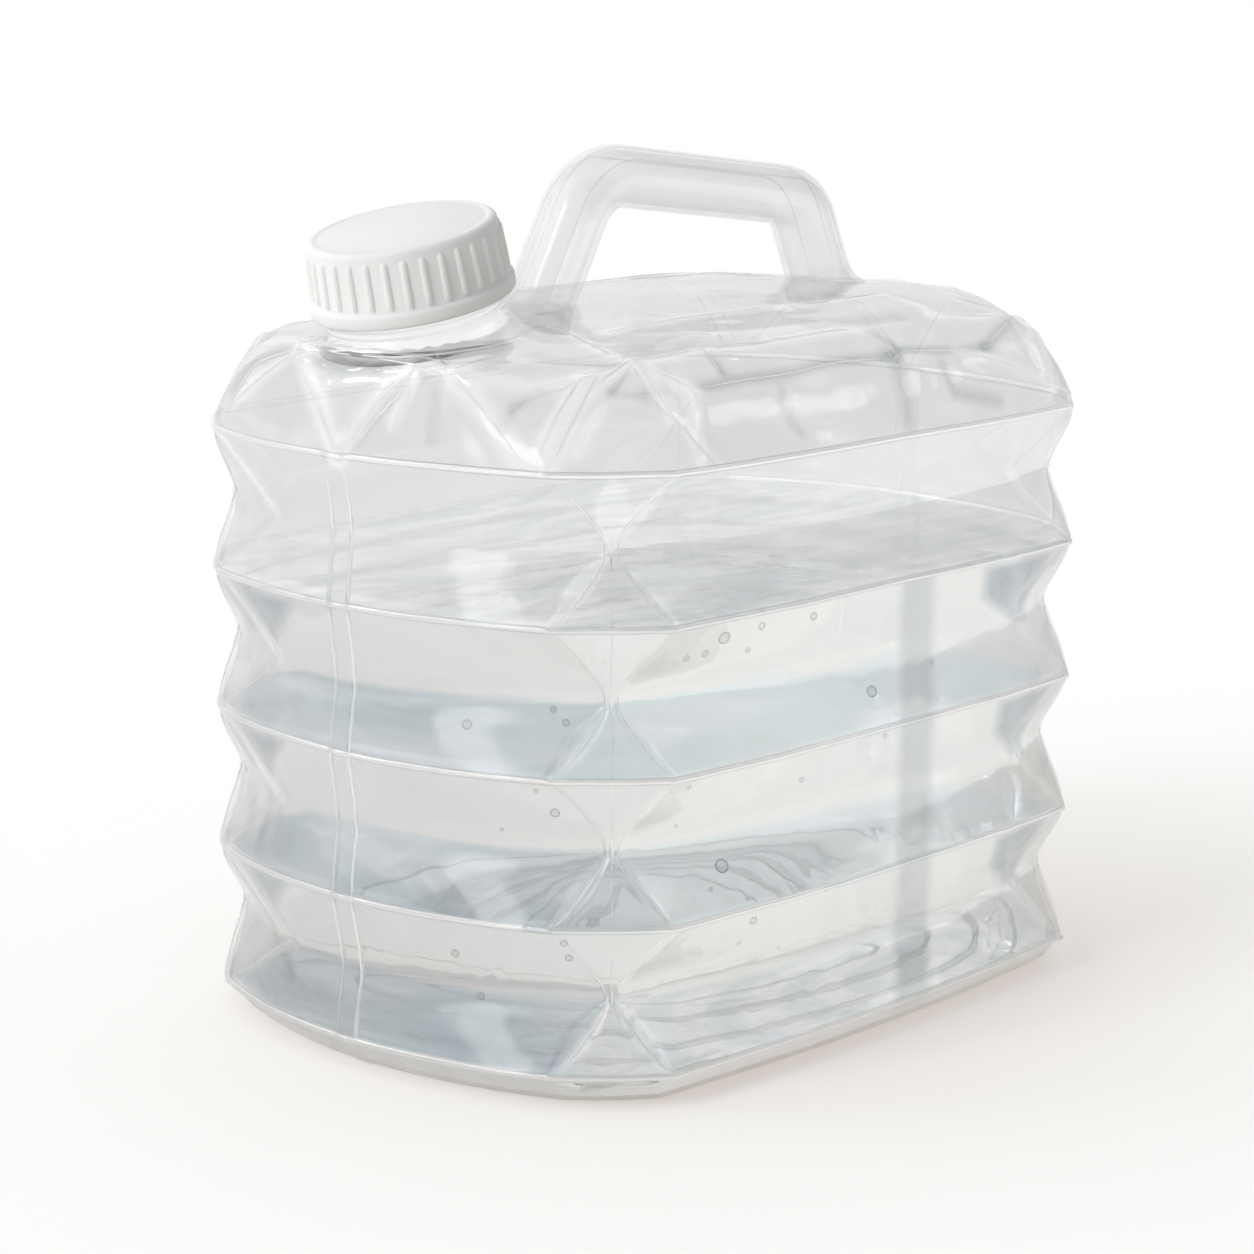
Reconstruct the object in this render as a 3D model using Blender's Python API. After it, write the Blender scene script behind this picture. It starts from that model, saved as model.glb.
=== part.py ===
"""Collapsible water carrier: a clear bellows bottle with a handle and a screw cap.

Metres, +Z up. The origin is on the floor under the middle of the bottle.
The spout is towards -X and the handle runs along X.
"""

import math

import bmesh
import bpy
from mathutils import Vector

# Small clearances between pieces that touch

fold_gap = 0.0003
seat_gap = 0.0003
thread_gap = 0.0004

# Plan of the bottle at a fold ridge

ridge_half_length = 0.133
ridge_half_width = 0.106
ridge_corner_cut = 0.028
ridge_end_bow = 0.017
ridge_side_bow = 0.006
corner_bow = 0.002

# Plan at a fold valley, measured from the ridge plan: deep at the corners, shallow across the faces

valley_inset = 0.0165
valley_corner_cut = 0.007
valley_face_inset = 0.004

# Raised moulding band down the middle of each end

band_half_width = 0.0024
band_edge = 0.0008
band_rise = 0.0007

# Heights of the bottle

base_ridge_height = 0.011
pleat_pitch = 0.0485
pleat_count = 4
ring_half_height = 0.006
foot_height_share = 0.35
foot_inset = 0.009
foot_mid_share = 0.45

# Walls

panel_wall = 0.0009
base_wall = 0.0013
deck_wall = 0.0013

# Shoulder and deck; the deck's plan is measured from the ridge plan

deck_end_inset = 0.006
deck_side_inset = 0.026
deck_end_bow = 0.014
deck_side_bow = 0.003
shoulder_rise = 0.033
shoulder_mid_rise_share = 0.58
shoulder_mid_inset_share = 0.28
deck_crown = 0.008
deck_step_shares = (0.8, 0.55, 0.25)

# Neck and spout, in a frame that leans towards -X

neck_end_margin = 0.0052
neck_side_margin = 0.0105
neck_tilt_deg = 13.0
neck_bore_radius = 0.0248
neck_wall = 0.0030
neck_height = 0.032
flange_flare = 0.0037
flange_height = 0.0042
bead_depth = 0.0024
bead_low = 0.0066
bead_thickness = 0.0026
lip_round = 0.0006
neck_root_share = 0.4

# Thread on the neck and in the cap

thread_pitch = 0.006
thread_depth = 0.0012
thread_base = 0.0026
thread_tip = 0.0012
thread_root = 0.0005
thread_lead_in = 0.0042
neck_thread_turns = 1.75
cap_thread_turns = 1.25
thread_taper_share = 0.12
thread_start_share = 0.2

# Cap

cap_rib_count = 32
cap_bead_gap = 0.0021
cap_wall = 0.0025
cap_band_step = 0.0017
cap_band_height = 0.0044
cap_taper = 0.0008
cap_rib_depth = 0.0009
cap_rib_end = 0.0030
cap_edge_round = 0.0016
cap_top_wall = 0.0020
liner_thickness = 0.0012

# Handle, a hollow bar bent in the XZ plane; heights are above the deck's rim

handle_neck_margin = 0.0277
handle_front_lean_deg = 30.0
handle_rear_margin = 0.0325
handle_rear_lean_deg = 24.0
handle_foot_rise = 0.0020
grip_mid_shift = 0.006
grip_rise = 0.0432
grip_slope_deg = 7.4
grip_front_bend = 0.024
grip_rear_bend = 0.018
handle_half_width = 0.0115
handle_outer = 0.0105
handle_inner = 0.0110
handle_wall = 0.0016
handle_root_depth = 0.012

# Points closer than this after a cut become one

weld_distance = 0.00002

# Numbers of steps round curves

face_steps = 8
half_face_steps = 4
lathe_steps = 96
rib_columns = 4
thread_steps = 48
bend_steps = 7
cap_smooth_deg = 30.0
bar_smooth_deg = 40.0

# Shares used in the shape of the handle's section

section_crest_share = 0.56
section_crest_rise_share = 0.92
section_side_share = 0.88
section_side_rise_share = 0.58

half = 0.5
quarter = 0.25
double = 2.0
full_turn = 2.0 * math.pi
diagonal = math.sqrt(half)
cut_share = 2.0 - math.sqrt(2.0)

clear_plastic = ((0.86, 0.90, 0.92, 1.0), 0.12)
milky_plastic = ((0.86, 0.87, 0.89, 1.0), 0.35)
white_plastic = ((0.90, 0.90, 0.89, 1.0), 0.40)
soft_plastic = ((0.80, 0.80, 0.77, 1.0), 0.60)


def clear_scene():
    for thing in list(bpy.data.objects):
        bpy.data.objects.remove(thing, do_unlink=True)


def make_material(name, look):
    colour, roughness = look
    material = bpy.data.materials.new(name + "_material")
    material.use_nodes = True
    shader = material.node_tree.nodes["Principled BSDF"]
    shader.inputs["Base Color"].default_value = colour
    shader.inputs["Roughness"].default_value = roughness
    shader.inputs["Metallic"].default_value = 0
    material.diffuse_color = colour
    return material


def face_stations(reach, with_band):
    """Positions along one face from -reach to reach, with the band's edges in the middle."""
    if not with_band:
        return [reach * (double * k / face_steps - 1) for k in range(face_steps + 1)]
    edge = band_half_width + band_edge
    outer = [edge + (reach - edge) * k / half_face_steps for k in range(1, half_face_steps + 1)]
    return [-s for s in reversed(outer)] + [-edge, -band_half_width, band_half_width, edge] + outer


def plan_outline(half_length, half_width, cut, end_bow, side_bow, band):
    """Closed plan, anticlockwise: four bowed faces and four cut corners."""
    end_reach = half_width - cut
    side_reach = half_length - cut
    end_side = []
    for s in face_stations(end_reach, True):
        rise = band if abs(s) < band_half_width + band_edge * half else 0
        end_side.append((half_length + end_bow * (1 - (s / end_reach) ** 2) + rise, s))
    long_side = []
    for s in face_stations(side_reach, False):
        long_side.append((-s, half_width + side_bow * (1 - (s / side_reach) ** 2)))
    shift = cut * half - corner_bow * diagonal
    corner = (half_length - shift, half_width - shift)
    far_corner = (-corner[0], corner[1])
    first_half = end_side + [corner] + long_side + [far_corner]
    return first_half + [(-x, -y) for x, y in first_half]


def ridge_plan(grow):
    return plan_outline(
        ridge_half_length + grow,
        ridge_half_width + grow,
        ridge_corner_cut + grow * cut_share,
        ridge_end_bow,
        ridge_side_bow,
        band_rise,
    )


def valley_bow(ridge_bow):
    """In the middle of a face the valley is only a little behind the ridges."""
    return ridge_bow + valley_inset - valley_face_inset


def valley_plan(grow):
    return plan_outline(
        ridge_half_length - valley_inset + grow,
        ridge_half_width - valley_inset + grow,
        valley_corner_cut + grow * cut_share,
        valley_bow(ridge_end_bow),
        valley_bow(ridge_side_bow),
        band_rise,
    )


def deck_half_length():
    return ridge_half_length - deck_end_inset


def flange_radius():
    return neck_bore_radius + neck_wall + flange_flare


def deck_plan(grow, share):
    """The deck's ends are as wide as the foot of the neck, with a margin on each side."""
    half_width = ridge_half_width - deck_side_inset
    corner_cut = half_width - flange_radius() - neck_side_margin
    return plan_outline(
        (deck_half_length() + grow) * share,
        (half_width + grow) * share,
        (corner_cut + grow * cut_share) * share,
        deck_end_bow * share,
        deck_side_bow * share,
        band_rise * share,
    )


def mix_plans(first, second, share):
    """Point by point blend of two plans."""
    keep = 1 - share
    return [(a[0] * keep + b[0] * share, a[1] * keep + b[1] * share) for a, b in zip(first, second)]


def raise_plan(plan, height):
    return [Vector((x, y, height)) for x, y in plan]


def pleat_row(share, height, grow):
    """One row of a pleat: share 0 is the ridge, share 1 the valley."""
    return raise_plan(mix_plans(ridge_plan(grow), valley_plan(grow), share), height)


def ring_of_vertices(mesh, row):
    return [mesh.verts.new(point) for point in row]


def bridge_rows(mesh, first, second):
    """Two triangles between each pair of neighbours, split the same way all round."""
    count = len(first)
    for k in range(count):
        n = (k + 1) % count
        mesh.faces.new((first[k], first[n], second[n]))
        mesh.faces.new((first[k], second[n], second[k]))


def close_with_peak(mesh, ring, height):
    """Close a ring with a fan to a point on the middle axis."""
    peak = mesh.verts.new((0, 0, height))
    count = len(ring)
    for k in range(count):
        mesh.faces.new((ring[k], ring[(k + 1) % count], peak))


def finish_object(name, mesh, look, location, tilt):
    bmesh.ops.recalc_face_normals(mesh, faces=mesh.faces[:])
    data = bpy.data.meshes.new(name)
    mesh.to_mesh(data)
    mesh.free()
    thing = bpy.data.objects.new(name, data)
    bpy.context.scene.collection.objects.link(thing)
    thing.location = location
    thing.rotation_euler = (0, tilt, 0)
    data.materials.append(make_material(name, look))
    return thing


def solid_from_loop(name, rows, look, location, tilt):
    """Rows joined in a closed loop, like a tube bent into a ring."""
    mesh = bmesh.new()
    rings = [ring_of_vertices(mesh, row) for row in rows]
    for k, ring in enumerate(rings):
        bridge_rows(mesh, ring, rings[(k + 1) % len(rings)])
    return finish_object(name, mesh, look, location, tilt)


def solid_from_stack(name, rows, look, location, tilt):
    """Rows joined in a stack, its first and last row closed by a flat face."""
    mesh = bmesh.new()
    rings = [ring_of_vertices(mesh, row) for row in rows]
    for low, high in zip(rings, rings[1:]):
        bridge_rows(mesh, low, high)
    mesh.faces.new(rings[0])
    mesh.faces.new(rings[-1])
    return finish_object(name, mesh, look, location, tilt)


def smooth(thing, angle_deg):
    thing.data.shade_smooth()
    thing.data.set_sharp_from_angle(angle=math.radians(angle_deg))


def make_tool(thing):
    thing.hide_render = True
    thing.display_type = "WIRE"


def add_boolean(thing, tool, operation):
    modifier = thing.modifiers.new(operation.lower() + "_" + tool.name, "BOOLEAN")
    modifier.operation = operation
    modifier.solver = "EXACT"
    modifier.object = tool


def join_close_points(thing):
    """A cut can leave points a hair apart where two edges cross."""
    modifier = thing.modifiers.new("join_close_points", "WELD")
    modifier.merge_threshold = weld_distance


def ridge_height(index):
    """Height of a fold ridge, counted up from the base ridge."""
    return base_ridge_height + pleat_pitch * index


def ring_share():
    return ring_half_height / (pleat_pitch * half)


def build_panel(name, ridge_index, lower):
    """One fold panel, from a ring's edge to the valley or from the valley to the next ring."""
    ridge = ridge_height(ridge_index)
    edge_share = ring_share()
    gap_share = fold_gap / (pleat_pitch * half)
    if lower:
        near = (edge_share + gap_share, ring_half_height + fold_gap)
        far = (1 - gap_share * half, pleat_pitch * half - fold_gap * half)
    else:
        near = (1 - gap_share * half, pleat_pitch * half + fold_gap * half)
        far = (edge_share + gap_share, pleat_pitch - ring_half_height - fold_gap)
    middle = ((near[0] + far[0]) * half, (near[1] + far[1]) * half)
    steps = [near, middle, far]
    outside = [pleat_row(share, height, 0) for share, height in steps]
    inside = [pleat_row(share, height, -panel_wall) for share, height in reversed(steps)]
    return solid_from_loop(name, outside + inside, clear_plastic, (0, 0, ridge), 0)


def build_fold_ring(name, ridge_index):
    """Stiff fold at a ridge, with the first part of the panel above and below it."""
    share = ring_share()
    rows = [
        pleat_row(share, -ring_half_height, 0),
        pleat_row(0, 0, 0),
        pleat_row(share, ring_half_height, 0),
        pleat_row(share, ring_half_height, -panel_wall),
        pleat_row(0, 0, -panel_wall),
        pleat_row(share, -ring_half_height, -panel_wall),
    ]
    return solid_from_loop(name, rows, clear_plastic, (0, 0, ridge_height(ridge_index)), 0)


def build_base_pan():
    """Flat base with a rounded foot, up to the first part of the lowest panel."""
    share = ring_share()
    top = base_ridge_height + ring_half_height
    foot_level = base_ridge_height * foot_height_share
    foot_mid = foot_inset * foot_mid_share
    rows = [
        raise_plan(ridge_plan(-foot_inset), 0),
        raise_plan(ridge_plan(-foot_mid), foot_level),
        pleat_row(0, base_ridge_height, 0),
        pleat_row(share, top, 0),
        pleat_row(share, top, -panel_wall),
        pleat_row(0, base_ridge_height, -panel_wall),
        raise_plan(ridge_plan(-foot_mid - base_wall), foot_level + base_wall * half),
        raise_plan(ridge_plan(-foot_inset - base_wall), base_wall),
    ]
    return solid_from_stack("base_pan", rows, clear_plastic, (0, 0, 0), 0)


def top_ridge():
    return ridge_height(pleat_count)


def deck_rim():
    return top_ridge() + shoulder_rise


def deck_height(share):
    """Height of the deck's upper side, where share 1 is its rim."""
    return deck_rim() + deck_crown * (1 - share ** 2)


def shoulder_mid_row(grow):
    plan = mix_plans(ridge_plan(grow), deck_plan(grow, 1), shoulder_mid_inset_share)
    return raise_plan(plan, top_ridge() + shoulder_rise * shoulder_mid_rise_share)


def build_shoulder():
    share = ring_share()
    ridge = top_ridge()
    rows = [
        pleat_row(share, ridge - ring_half_height, 0),
        pleat_row(0, ridge, 0),
        shoulder_mid_row(0),
        raise_plan(deck_plan(0, 1), deck_rim()),
        raise_plan(deck_plan(0, 1), deck_rim() - deck_wall),
        shoulder_mid_row(-panel_wall),
        pleat_row(0, ridge, -panel_wall),
        pleat_row(share, ridge - ring_half_height, -panel_wall),
    ]
    return solid_from_loop("shoulder", rows, clear_plastic, (0, 0, 0), 0)


def build_deck():
    """Slightly domed lid of the bottle, seated inside the shoulder's upper edge."""
    mesh = bmesh.new()
    plans = [deck_plan(-seat_gap, 1)] + [deck_plan(0, share) for share in deck_step_shares]
    heights = [deck_height(share) for share in (1,) + deck_step_shares]
    upper = [ring_of_vertices(mesh, raise_plan(p, h)) for p, h in zip(plans, heights)]
    lower = [ring_of_vertices(mesh, raise_plan(p, h - deck_wall)) for p, h in zip(plans, heights)]
    for outer, inner in zip(upper, upper[1:]):
        bridge_rows(mesh, outer, inner)
    for outer, inner in zip(lower, lower[1:]):
        bridge_rows(mesh, outer, inner)
    bridge_rows(mesh, upper[0], lower[0])
    close_with_peak(mesh, upper[-1], deck_height(0))
    close_with_peak(mesh, lower[-1], deck_height(0) - deck_wall)
    return finish_object("deck", mesh, clear_plastic, (0, 0, 0), 0)


def build_top_block():
    """Everything under the upper skin, a seat gap larger: it trims the neck and the handle's feet."""
    mesh = bmesh.new()
    rows = [
        pleat_row(0, top_ridge() - pleat_pitch, seat_gap),
        pleat_row(0, top_ridge(), seat_gap),
        shoulder_mid_row(seat_gap),
        raise_plan(deck_plan(0, 1), deck_rim() + seat_gap),
    ]
    for share in deck_step_shares:
        rows.append(raise_plan(deck_plan(0, share), deck_height(share) + seat_gap))
    rings = [ring_of_vertices(mesh, row) for row in rows]
    for low, high in zip(rings, rings[1:]):
        bridge_rows(mesh, low, high)
    mesh.faces.new(rings[0])
    close_with_peak(mesh, rings[-1], deck_height(0) + seat_gap)
    block = finish_object("top_block", mesh, clear_plastic, (0, 0, 0), 0)
    make_tool(block)
    return block


def circle_row(radius, height, steps):
    turns = [full_turn * k / steps for k in range(steps)]
    return [Vector((radius * math.cos(t), radius * math.sin(t), height)) for t in turns]


def neck_place():
    """Foot of the neck's axis, on the deck's upper side near its -X end."""
    deck_end = deck_half_length() + deck_end_bow
    offset = deck_end - neck_bore_radius - neck_end_margin
    return (-offset, 0, deck_height(offset / deck_end))


def neck_turn():
    return -math.radians(neck_tilt_deg)


def neck_radius():
    return neck_bore_radius + neck_wall


def cap_foot():
    """Height of the cap's lower edge along the neck's axis."""
    return bead_low + bead_thickness + cap_bead_gap


def cap_top():
    return neck_height + seat_gap + liner_thickness + seat_gap + cap_top_wall


def cap_bore_radius():
    return neck_radius() + thread_depth + thread_gap


def build_thread(name, root_radius, tip_radius, low, turns):
    """Helical ridge whose ends run out to nothing; its root is sunk in the wall."""
    mesh = bmesh.new()
    count = int(thread_steps * turns)
    inward = 1 if tip_radius > root_radius else -1
    buried = root_radius - thread_root * inward
    sections = []
    for k in range(count + 1):
        along = k / count
        angle = full_turn * (along * turns + thread_start_share / thread_steps)
        level = low + thread_pitch * along * turns
        taper = min(1, along / thread_taper_share, (1 - along) / thread_taper_share)
        crest = root_radius + (tip_radius - root_radius) * taper - thread_root * inward * half * (1 - taper)
        points = (
            (buried, -thread_base * half),
            (crest, -thread_tip * half),
            (crest, thread_tip * half),
            (buried, thread_base * half),
        )
        ring = [
            mesh.verts.new((r * math.cos(angle), r * math.sin(angle), level + rise))
            for r, rise in points
        ]
        sections.append(ring)
    for first, second in zip(sections, sections[1:]):
        bridge_rows(mesh, first, second)
    mesh.faces.new(sections[0])
    mesh.faces.new(sections[-1])
    thread = finish_object(name, mesh, clear_plastic, neck_place(), neck_turn())
    make_tool(thread)
    return thread


def build_neck(top_block):
    """Spout with a flared foot, a bead under the cap, a thread and a rounded lip."""
    radius = neck_radius()
    flange = flange_radius()
    bead = radius + bead_depth
    bead_high = bead_low + bead_thickness
    bead_side = bead_thickness * quarter
    root = -flange * neck_root_share
    profile = [
        (neck_bore_radius, root),
        (flange, root),
        (flange, 0),
        (radius + flange_flare * half, flange_height * quarter),
        (radius, flange_height),
        (radius, bead_low),
        (bead, bead_low + bead_side),
        (bead, bead_high - bead_side),
        (radius, bead_high),
        (radius, neck_height - lip_round),
        (radius - lip_round, neck_height),
        (neck_bore_radius + lip_round, neck_height),
        (neck_bore_radius, neck_height - lip_round),
    ]
    rows = [circle_row(r, z, lathe_steps) for r, z in profile]
    neck = solid_from_loop("neck", rows, clear_plastic, neck_place(), neck_turn())
    low = cap_foot() + thread_lead_in
    thread = build_thread("neck_thread", radius, radius + thread_depth, low, neck_thread_turns)
    add_boolean(neck, thread, "UNION")
    add_boolean(neck, top_block, "DIFFERENCE")
    join_close_points(neck)
    smooth(neck, cap_smooth_deg)
    return neck


def build_bore_tool():
    reach = flange_radius() * neck_root_share
    rows = [
        circle_row(neck_bore_radius, -reach * double, lathe_steps),
        circle_row(neck_bore_radius, reach, lathe_steps),
    ]
    tool = solid_from_stack("bore_tool", rows, clear_plastic, neck_place(), neck_turn())
    make_tool(tool)
    return tool


def cap_row(radius, height, rib):
    """One row of the cap's outer side: two columns of each rib stand out by rib."""
    steps = cap_rib_count * rib_columns
    row = []
    for k in range(steps):
        turn = full_turn * k / steps
        reach = radius + (rib if k % rib_columns in (1, 2) else 0)
        row.append(Vector((reach * math.cos(turn), reach * math.sin(turn), height)))
    return row


def build_cap():
    """Screw cap: ribbed side over a plain band, open below, with a thread inside."""
    foot = cap_foot()
    top = cap_top()
    bore = cap_bore_radius()
    wall = bore + cap_wall
    brim = wall + cap_band_step
    crown = wall - cap_taper
    band_top = foot + cap_band_height
    rib_low = band_top + cap_edge_round * half
    rib_top = top - cap_rib_end
    small_round = cap_edge_round * quarter
    rows = [
        cap_row(bore, top - cap_top_wall, 0),
        cap_row(bore, foot, 0),
        cap_row(brim - small_round, foot, 0),
        cap_row(brim, foot + small_round, 0),
        cap_row(brim, band_top, 0),
        cap_row(wall, rib_low, cap_rib_depth),
        cap_row(crown, rib_top - cap_rib_depth, cap_rib_depth),
        cap_row(crown, rib_top, 0),
        cap_row(crown, top - cap_edge_round, 0),
        cap_row(crown - small_round, top - small_round, 0),
        cap_row(crown - cap_edge_round, top, 0),
    ]
    cap = solid_from_stack("cap", rows, white_plastic, neck_place(), neck_turn())
    low = foot + thread_lead_in + thread_pitch * half
    thread = build_thread("cap_thread", bore, bore - thread_depth, low, cap_thread_turns)
    add_boolean(cap, thread, "UNION")
    join_close_points(cap)
    smooth(cap, cap_smooth_deg)
    return cap


def build_cap_liner():
    """Round sealing disc between the neck's lip and the cap's ceiling."""
    low = neck_height + seat_gap
    rows = [
        circle_row(neck_radius(), low, lathe_steps),
        circle_row(neck_radius(), low + liner_thickness, lathe_steps),
    ]
    return solid_from_stack("cap_liner", rows, soft_plastic, neck_place(), neck_turn())


def handle_front_foot():
    return Vector((neck_place()[0] + neck_bore_radius + handle_neck_margin, deck_rim() + handle_foot_rise))


def handle_rear_foot():
    return Vector((deck_half_length() - handle_rear_margin, deck_rim() + handle_foot_rise))


def handle_corner(foot, lean):
    """Where a leg's line meets the grip's line, in the XZ plane."""
    slope = math.tan(math.radians(grip_slope_deg))
    run = math.tan(math.radians(lean))
    grip_mid = (handle_front_foot().x + handle_rear_foot().x) * half + grip_mid_shift
    grip_height = deck_rim() + grip_rise + (grip_mid - foot.x) * slope
    height = (grip_height - foot.y) / (1 + run * slope)
    return Vector((foot.x + run * height, foot.y + height))


def bend_points(before, corner, after, radius):
    """Arc between two straight runs, as points in the XZ plane with its tangent points."""
    back = (before - corner).normalized()
    forth = (after - corner).normalized()
    opening = back.angle(forth)
    run = radius / math.tan(opening * half)
    centre = corner + (back + forth).normalized() * (radius / math.sin(opening * half))
    start = corner + back * run - centre
    end = corner + forth * run - centre
    sweep = start.angle_signed(end)
    points = []
    for k in range(bend_steps + 1):
        turn = -sweep * k / bend_steps
        c = math.cos(turn)
        s = math.sin(turn)
        points.append(centre + Vector((start.x * c - start.y * s, start.x * s + start.y * c)))
    return points


def handle_path():
    front_run = math.tan(math.radians(handle_front_lean_deg))
    rear_run = math.tan(math.radians(handle_rear_lean_deg))
    front_foot = handle_front_foot()
    rear_foot = handle_rear_foot()
    front_corner = handle_corner(front_foot, handle_front_lean_deg)
    rear_corner = handle_corner(rear_foot, -handle_rear_lean_deg)
    start = front_foot - Vector((front_run, 1)) * handle_root_depth
    end = rear_foot + Vector((rear_run, -1)) * handle_root_depth
    path = [start]
    path += bend_points(start, front_corner, rear_corner, grip_front_bend)
    path += bend_points(front_corner, rear_corner, end, grip_rear_bend)
    return path + [end]


def handle_section(shrink):
    """Rounded twelve-sided section: across the handle, and outwards from its path."""
    side = handle_half_width - shrink
    outer = handle_outer - shrink
    inner = handle_inner - shrink
    right = [
        (side * section_crest_share, outer * section_crest_rise_share),
        (side * section_side_share, outer * section_side_rise_share),
        (side, 0),
        (side * section_side_share, -inner * section_side_rise_share),
        (side * section_crest_share, -inner * section_crest_rise_share),
    ]
    left = [(-across, out) for across, out in reversed(right)]
    return [(0, outer)] + right + [(0, -inner)] + left


def build_handle_bar(name, shrink, stretch):
    """Sweep of the section along the path, its ends lengthened by stretch."""
    path = handle_path()
    path[0] = path[0] + (path[0] - path[1]).normalized() * stretch
    path[-1] = path[-1] + (path[-1] - path[-2]).normalized() * stretch
    rows = []
    for k, point in enumerate(path):
        before = path[max(k - 1, 0)]
        after = path[min(k + 1, len(path) - 1)]
        along = (after - before).normalized()
        outward = Vector((-along.y, along.x))
        row = []
        for across, out in handle_section(shrink):
            row.append(Vector((point.x + outward.x * out, across, point.y + outward.y * out)))
        rows.append(row)
    return solid_from_stack(name, rows, milky_plastic, (0, 0, 0), 0)


def build_handle(top_block):
    handle = build_handle_bar("handle", 0, 0)
    core = build_handle_bar("handle_core", handle_wall, handle_root_depth)
    make_tool(core)
    add_boolean(handle, core, "DIFFERENCE")
    add_boolean(handle, top_block, "DIFFERENCE")
    join_close_points(handle)
    return handle, core


def build_bellows():
    """Panels and rings from the base up; pleats and rings are numbered from the top."""
    build_base_pan()
    for index in range(pleat_count):
        number = pleat_count - index
        build_panel("pleat_%d_lower" % number, index, True)
        build_panel("pleat_%d_upper" % number, index, False)
        if index > 0:
            build_fold_ring("fold_ring_%d" % (number + 1), index)


def build_carrier():
    clear_scene()
    build_bellows()
    build_shoulder()
    deck = build_deck()
    top_block = build_top_block()
    build_neck(top_block)
    handle, core = build_handle(top_block)
    add_boolean(deck, build_bore_tool(), "DIFFERENCE")
    add_boolean(deck, core, "DIFFERENCE")
    join_close_points(deck)
    smooth(handle, bar_smooth_deg)
    build_cap()
    build_cap_liner()


build_carrier()
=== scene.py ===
"""Looks of the collapsible water carrier: clear film bottle, milky handle, white screw cap, water inside."""

import math

import bmesh
import bpy
from mathutils import Matrix, Vector, noise
from mathutils.bvhtree import BVHTree


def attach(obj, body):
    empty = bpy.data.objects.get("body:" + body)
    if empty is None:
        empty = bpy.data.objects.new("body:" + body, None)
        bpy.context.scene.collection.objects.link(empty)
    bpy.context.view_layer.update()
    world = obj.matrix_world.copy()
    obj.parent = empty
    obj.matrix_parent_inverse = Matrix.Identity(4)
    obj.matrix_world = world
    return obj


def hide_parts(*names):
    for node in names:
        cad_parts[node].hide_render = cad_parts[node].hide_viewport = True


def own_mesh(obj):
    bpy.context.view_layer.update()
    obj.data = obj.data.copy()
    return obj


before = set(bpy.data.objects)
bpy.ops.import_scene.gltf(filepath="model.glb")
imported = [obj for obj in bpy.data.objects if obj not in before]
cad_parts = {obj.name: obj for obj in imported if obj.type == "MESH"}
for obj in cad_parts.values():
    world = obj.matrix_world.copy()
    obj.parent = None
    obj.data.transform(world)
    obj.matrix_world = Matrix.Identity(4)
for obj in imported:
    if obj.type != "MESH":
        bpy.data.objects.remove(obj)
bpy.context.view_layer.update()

# The film's wobble is the same on every run, because its seed is fixed

wobble_seed = 5
noise.seed_set(wobble_seed)

# Bottle sizes, in metres, as in the part's source

ridge_half_length = 0.133
ridge_half_width = 0.106
ridge_corner_cut = 0.028
valley_inset = 0.0170
valley_corner_cut = 0.003
band_half_width = 0.0032
band_edge = 0.0011
band_rise = 0.0007
corner_bulge = 0.0014
base_ridge_height = 0.011
pleat_pitch = 0.0485
top_ridge_height = 0.205
top_place = 8
ridge_end_reach = 0.078
ridge_side_reach = 0.105
deck_rim_height = 0.238
deck_end = 0.141
deck_side = 0.083
deck_crown = 0.008

# Each fold ridge from the base up: how far its ends and its sides bow out

end_bows = (0.0160, 0.0164, 0.0164, 0.0160, 0.0162)
side_bows = (0.0050, 0.0052, 0.0050, 0.0035, 0.0025)

# Each valley from the base up: how far it lies behind the ridges in the middle of the ends and of the sides

end_depths = (0.0040, 0.0028, 0.0028, 0.0030)
side_depths = (0.0060, 0.0036, 0.0036, 0.0080)

# How finely the film is drawn: columns round it, and rows from one ridge or valley to the next

end_columns = 36
side_columns = 100
corner_columns = 12
film_rows = 14
crease_rows = 8
water_rows = 12

# Profile of the film from a ridge to a valley: straight, then rounding into the valley, and sagging a little

straight_until = 0.62
valley_rounding = 0.76
valley_share = 0.81
film_sag = 0.10

water_level = 0.1553
water_top_place = 5.98
water_gap = 0.0011
# Where the painted dark bar lies across the water's side: painted shade of the far corner seen through it
painted_dark_bar_place = 0.0900
fold_travel = 0.030
thread_pitch = 0.006
cap_ribs = 32
rib_size = 0.0013
weld_distance = 0.00002

# How far from each other the film's points may lie after it wobbles, slowly and quickly along its length

slow_wobble, slow_wobble_scale = 0.0007, 13.0
quick_wobble, quick_wobble_scale = 0.0002, 47.0

# Fine lines on the film, by radius

fold_bead = 0.0012
fold_bead_sink = 0.0007
corner_line = 0.00042
band_line = 0.0007
parting_line = 0.0002
crease_run = 0.004
short_of_top_ridge = 0.05

# Floor, with how much it glows for the camera and through the water, so that it shows white

floor_reach = 30
floor_drop = 0.0002
floor_lift = 0.220
floor_lift_through_water = 0.38

# Camera, fitted to the photograph: angles in radians, the focal length in the photograph's own pixels

camera_turn = 0.831302821
camera_tilt = 0.201709757
camera_reach = 1.2393
camera_aside = -0.00767242
camera_aim_height = 0.126811899
camera_sensor = 36
camera_focal_pixels = 3503.57
photo_pixels = 1254

# Neck, which leans outwards: its lowest part is pressed to the deck, which is open under it

neck_foot = Vector((-0.111, 0, 0.241042))
neck_lean = -math.radians(13.0)
neck_seat_from = 0.0035
neck_seat_depth = 0.0087
deck_hole_from = 0.23
deck_hole_radius = 0.026

# Handle: its feet on the deck, how its legs lean in and its grip slopes, and how round its two corners are

handle_foot_height = 0.240
handle_front, handle_rear = -0.0585, 0.0945
front_leg_lean, rear_leg_lean = math.radians(30), math.radians(24)
grip_slope = math.radians(7.4)
grip_rise = 0.0432
grip_level_at = 0.024
front_bend, rear_bend = 0.024, 0.018
handle_sink = 0.0035
bar_half_width, bar_half_height = 0.0115, 0.0107
bar_wall = 0.0018


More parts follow.
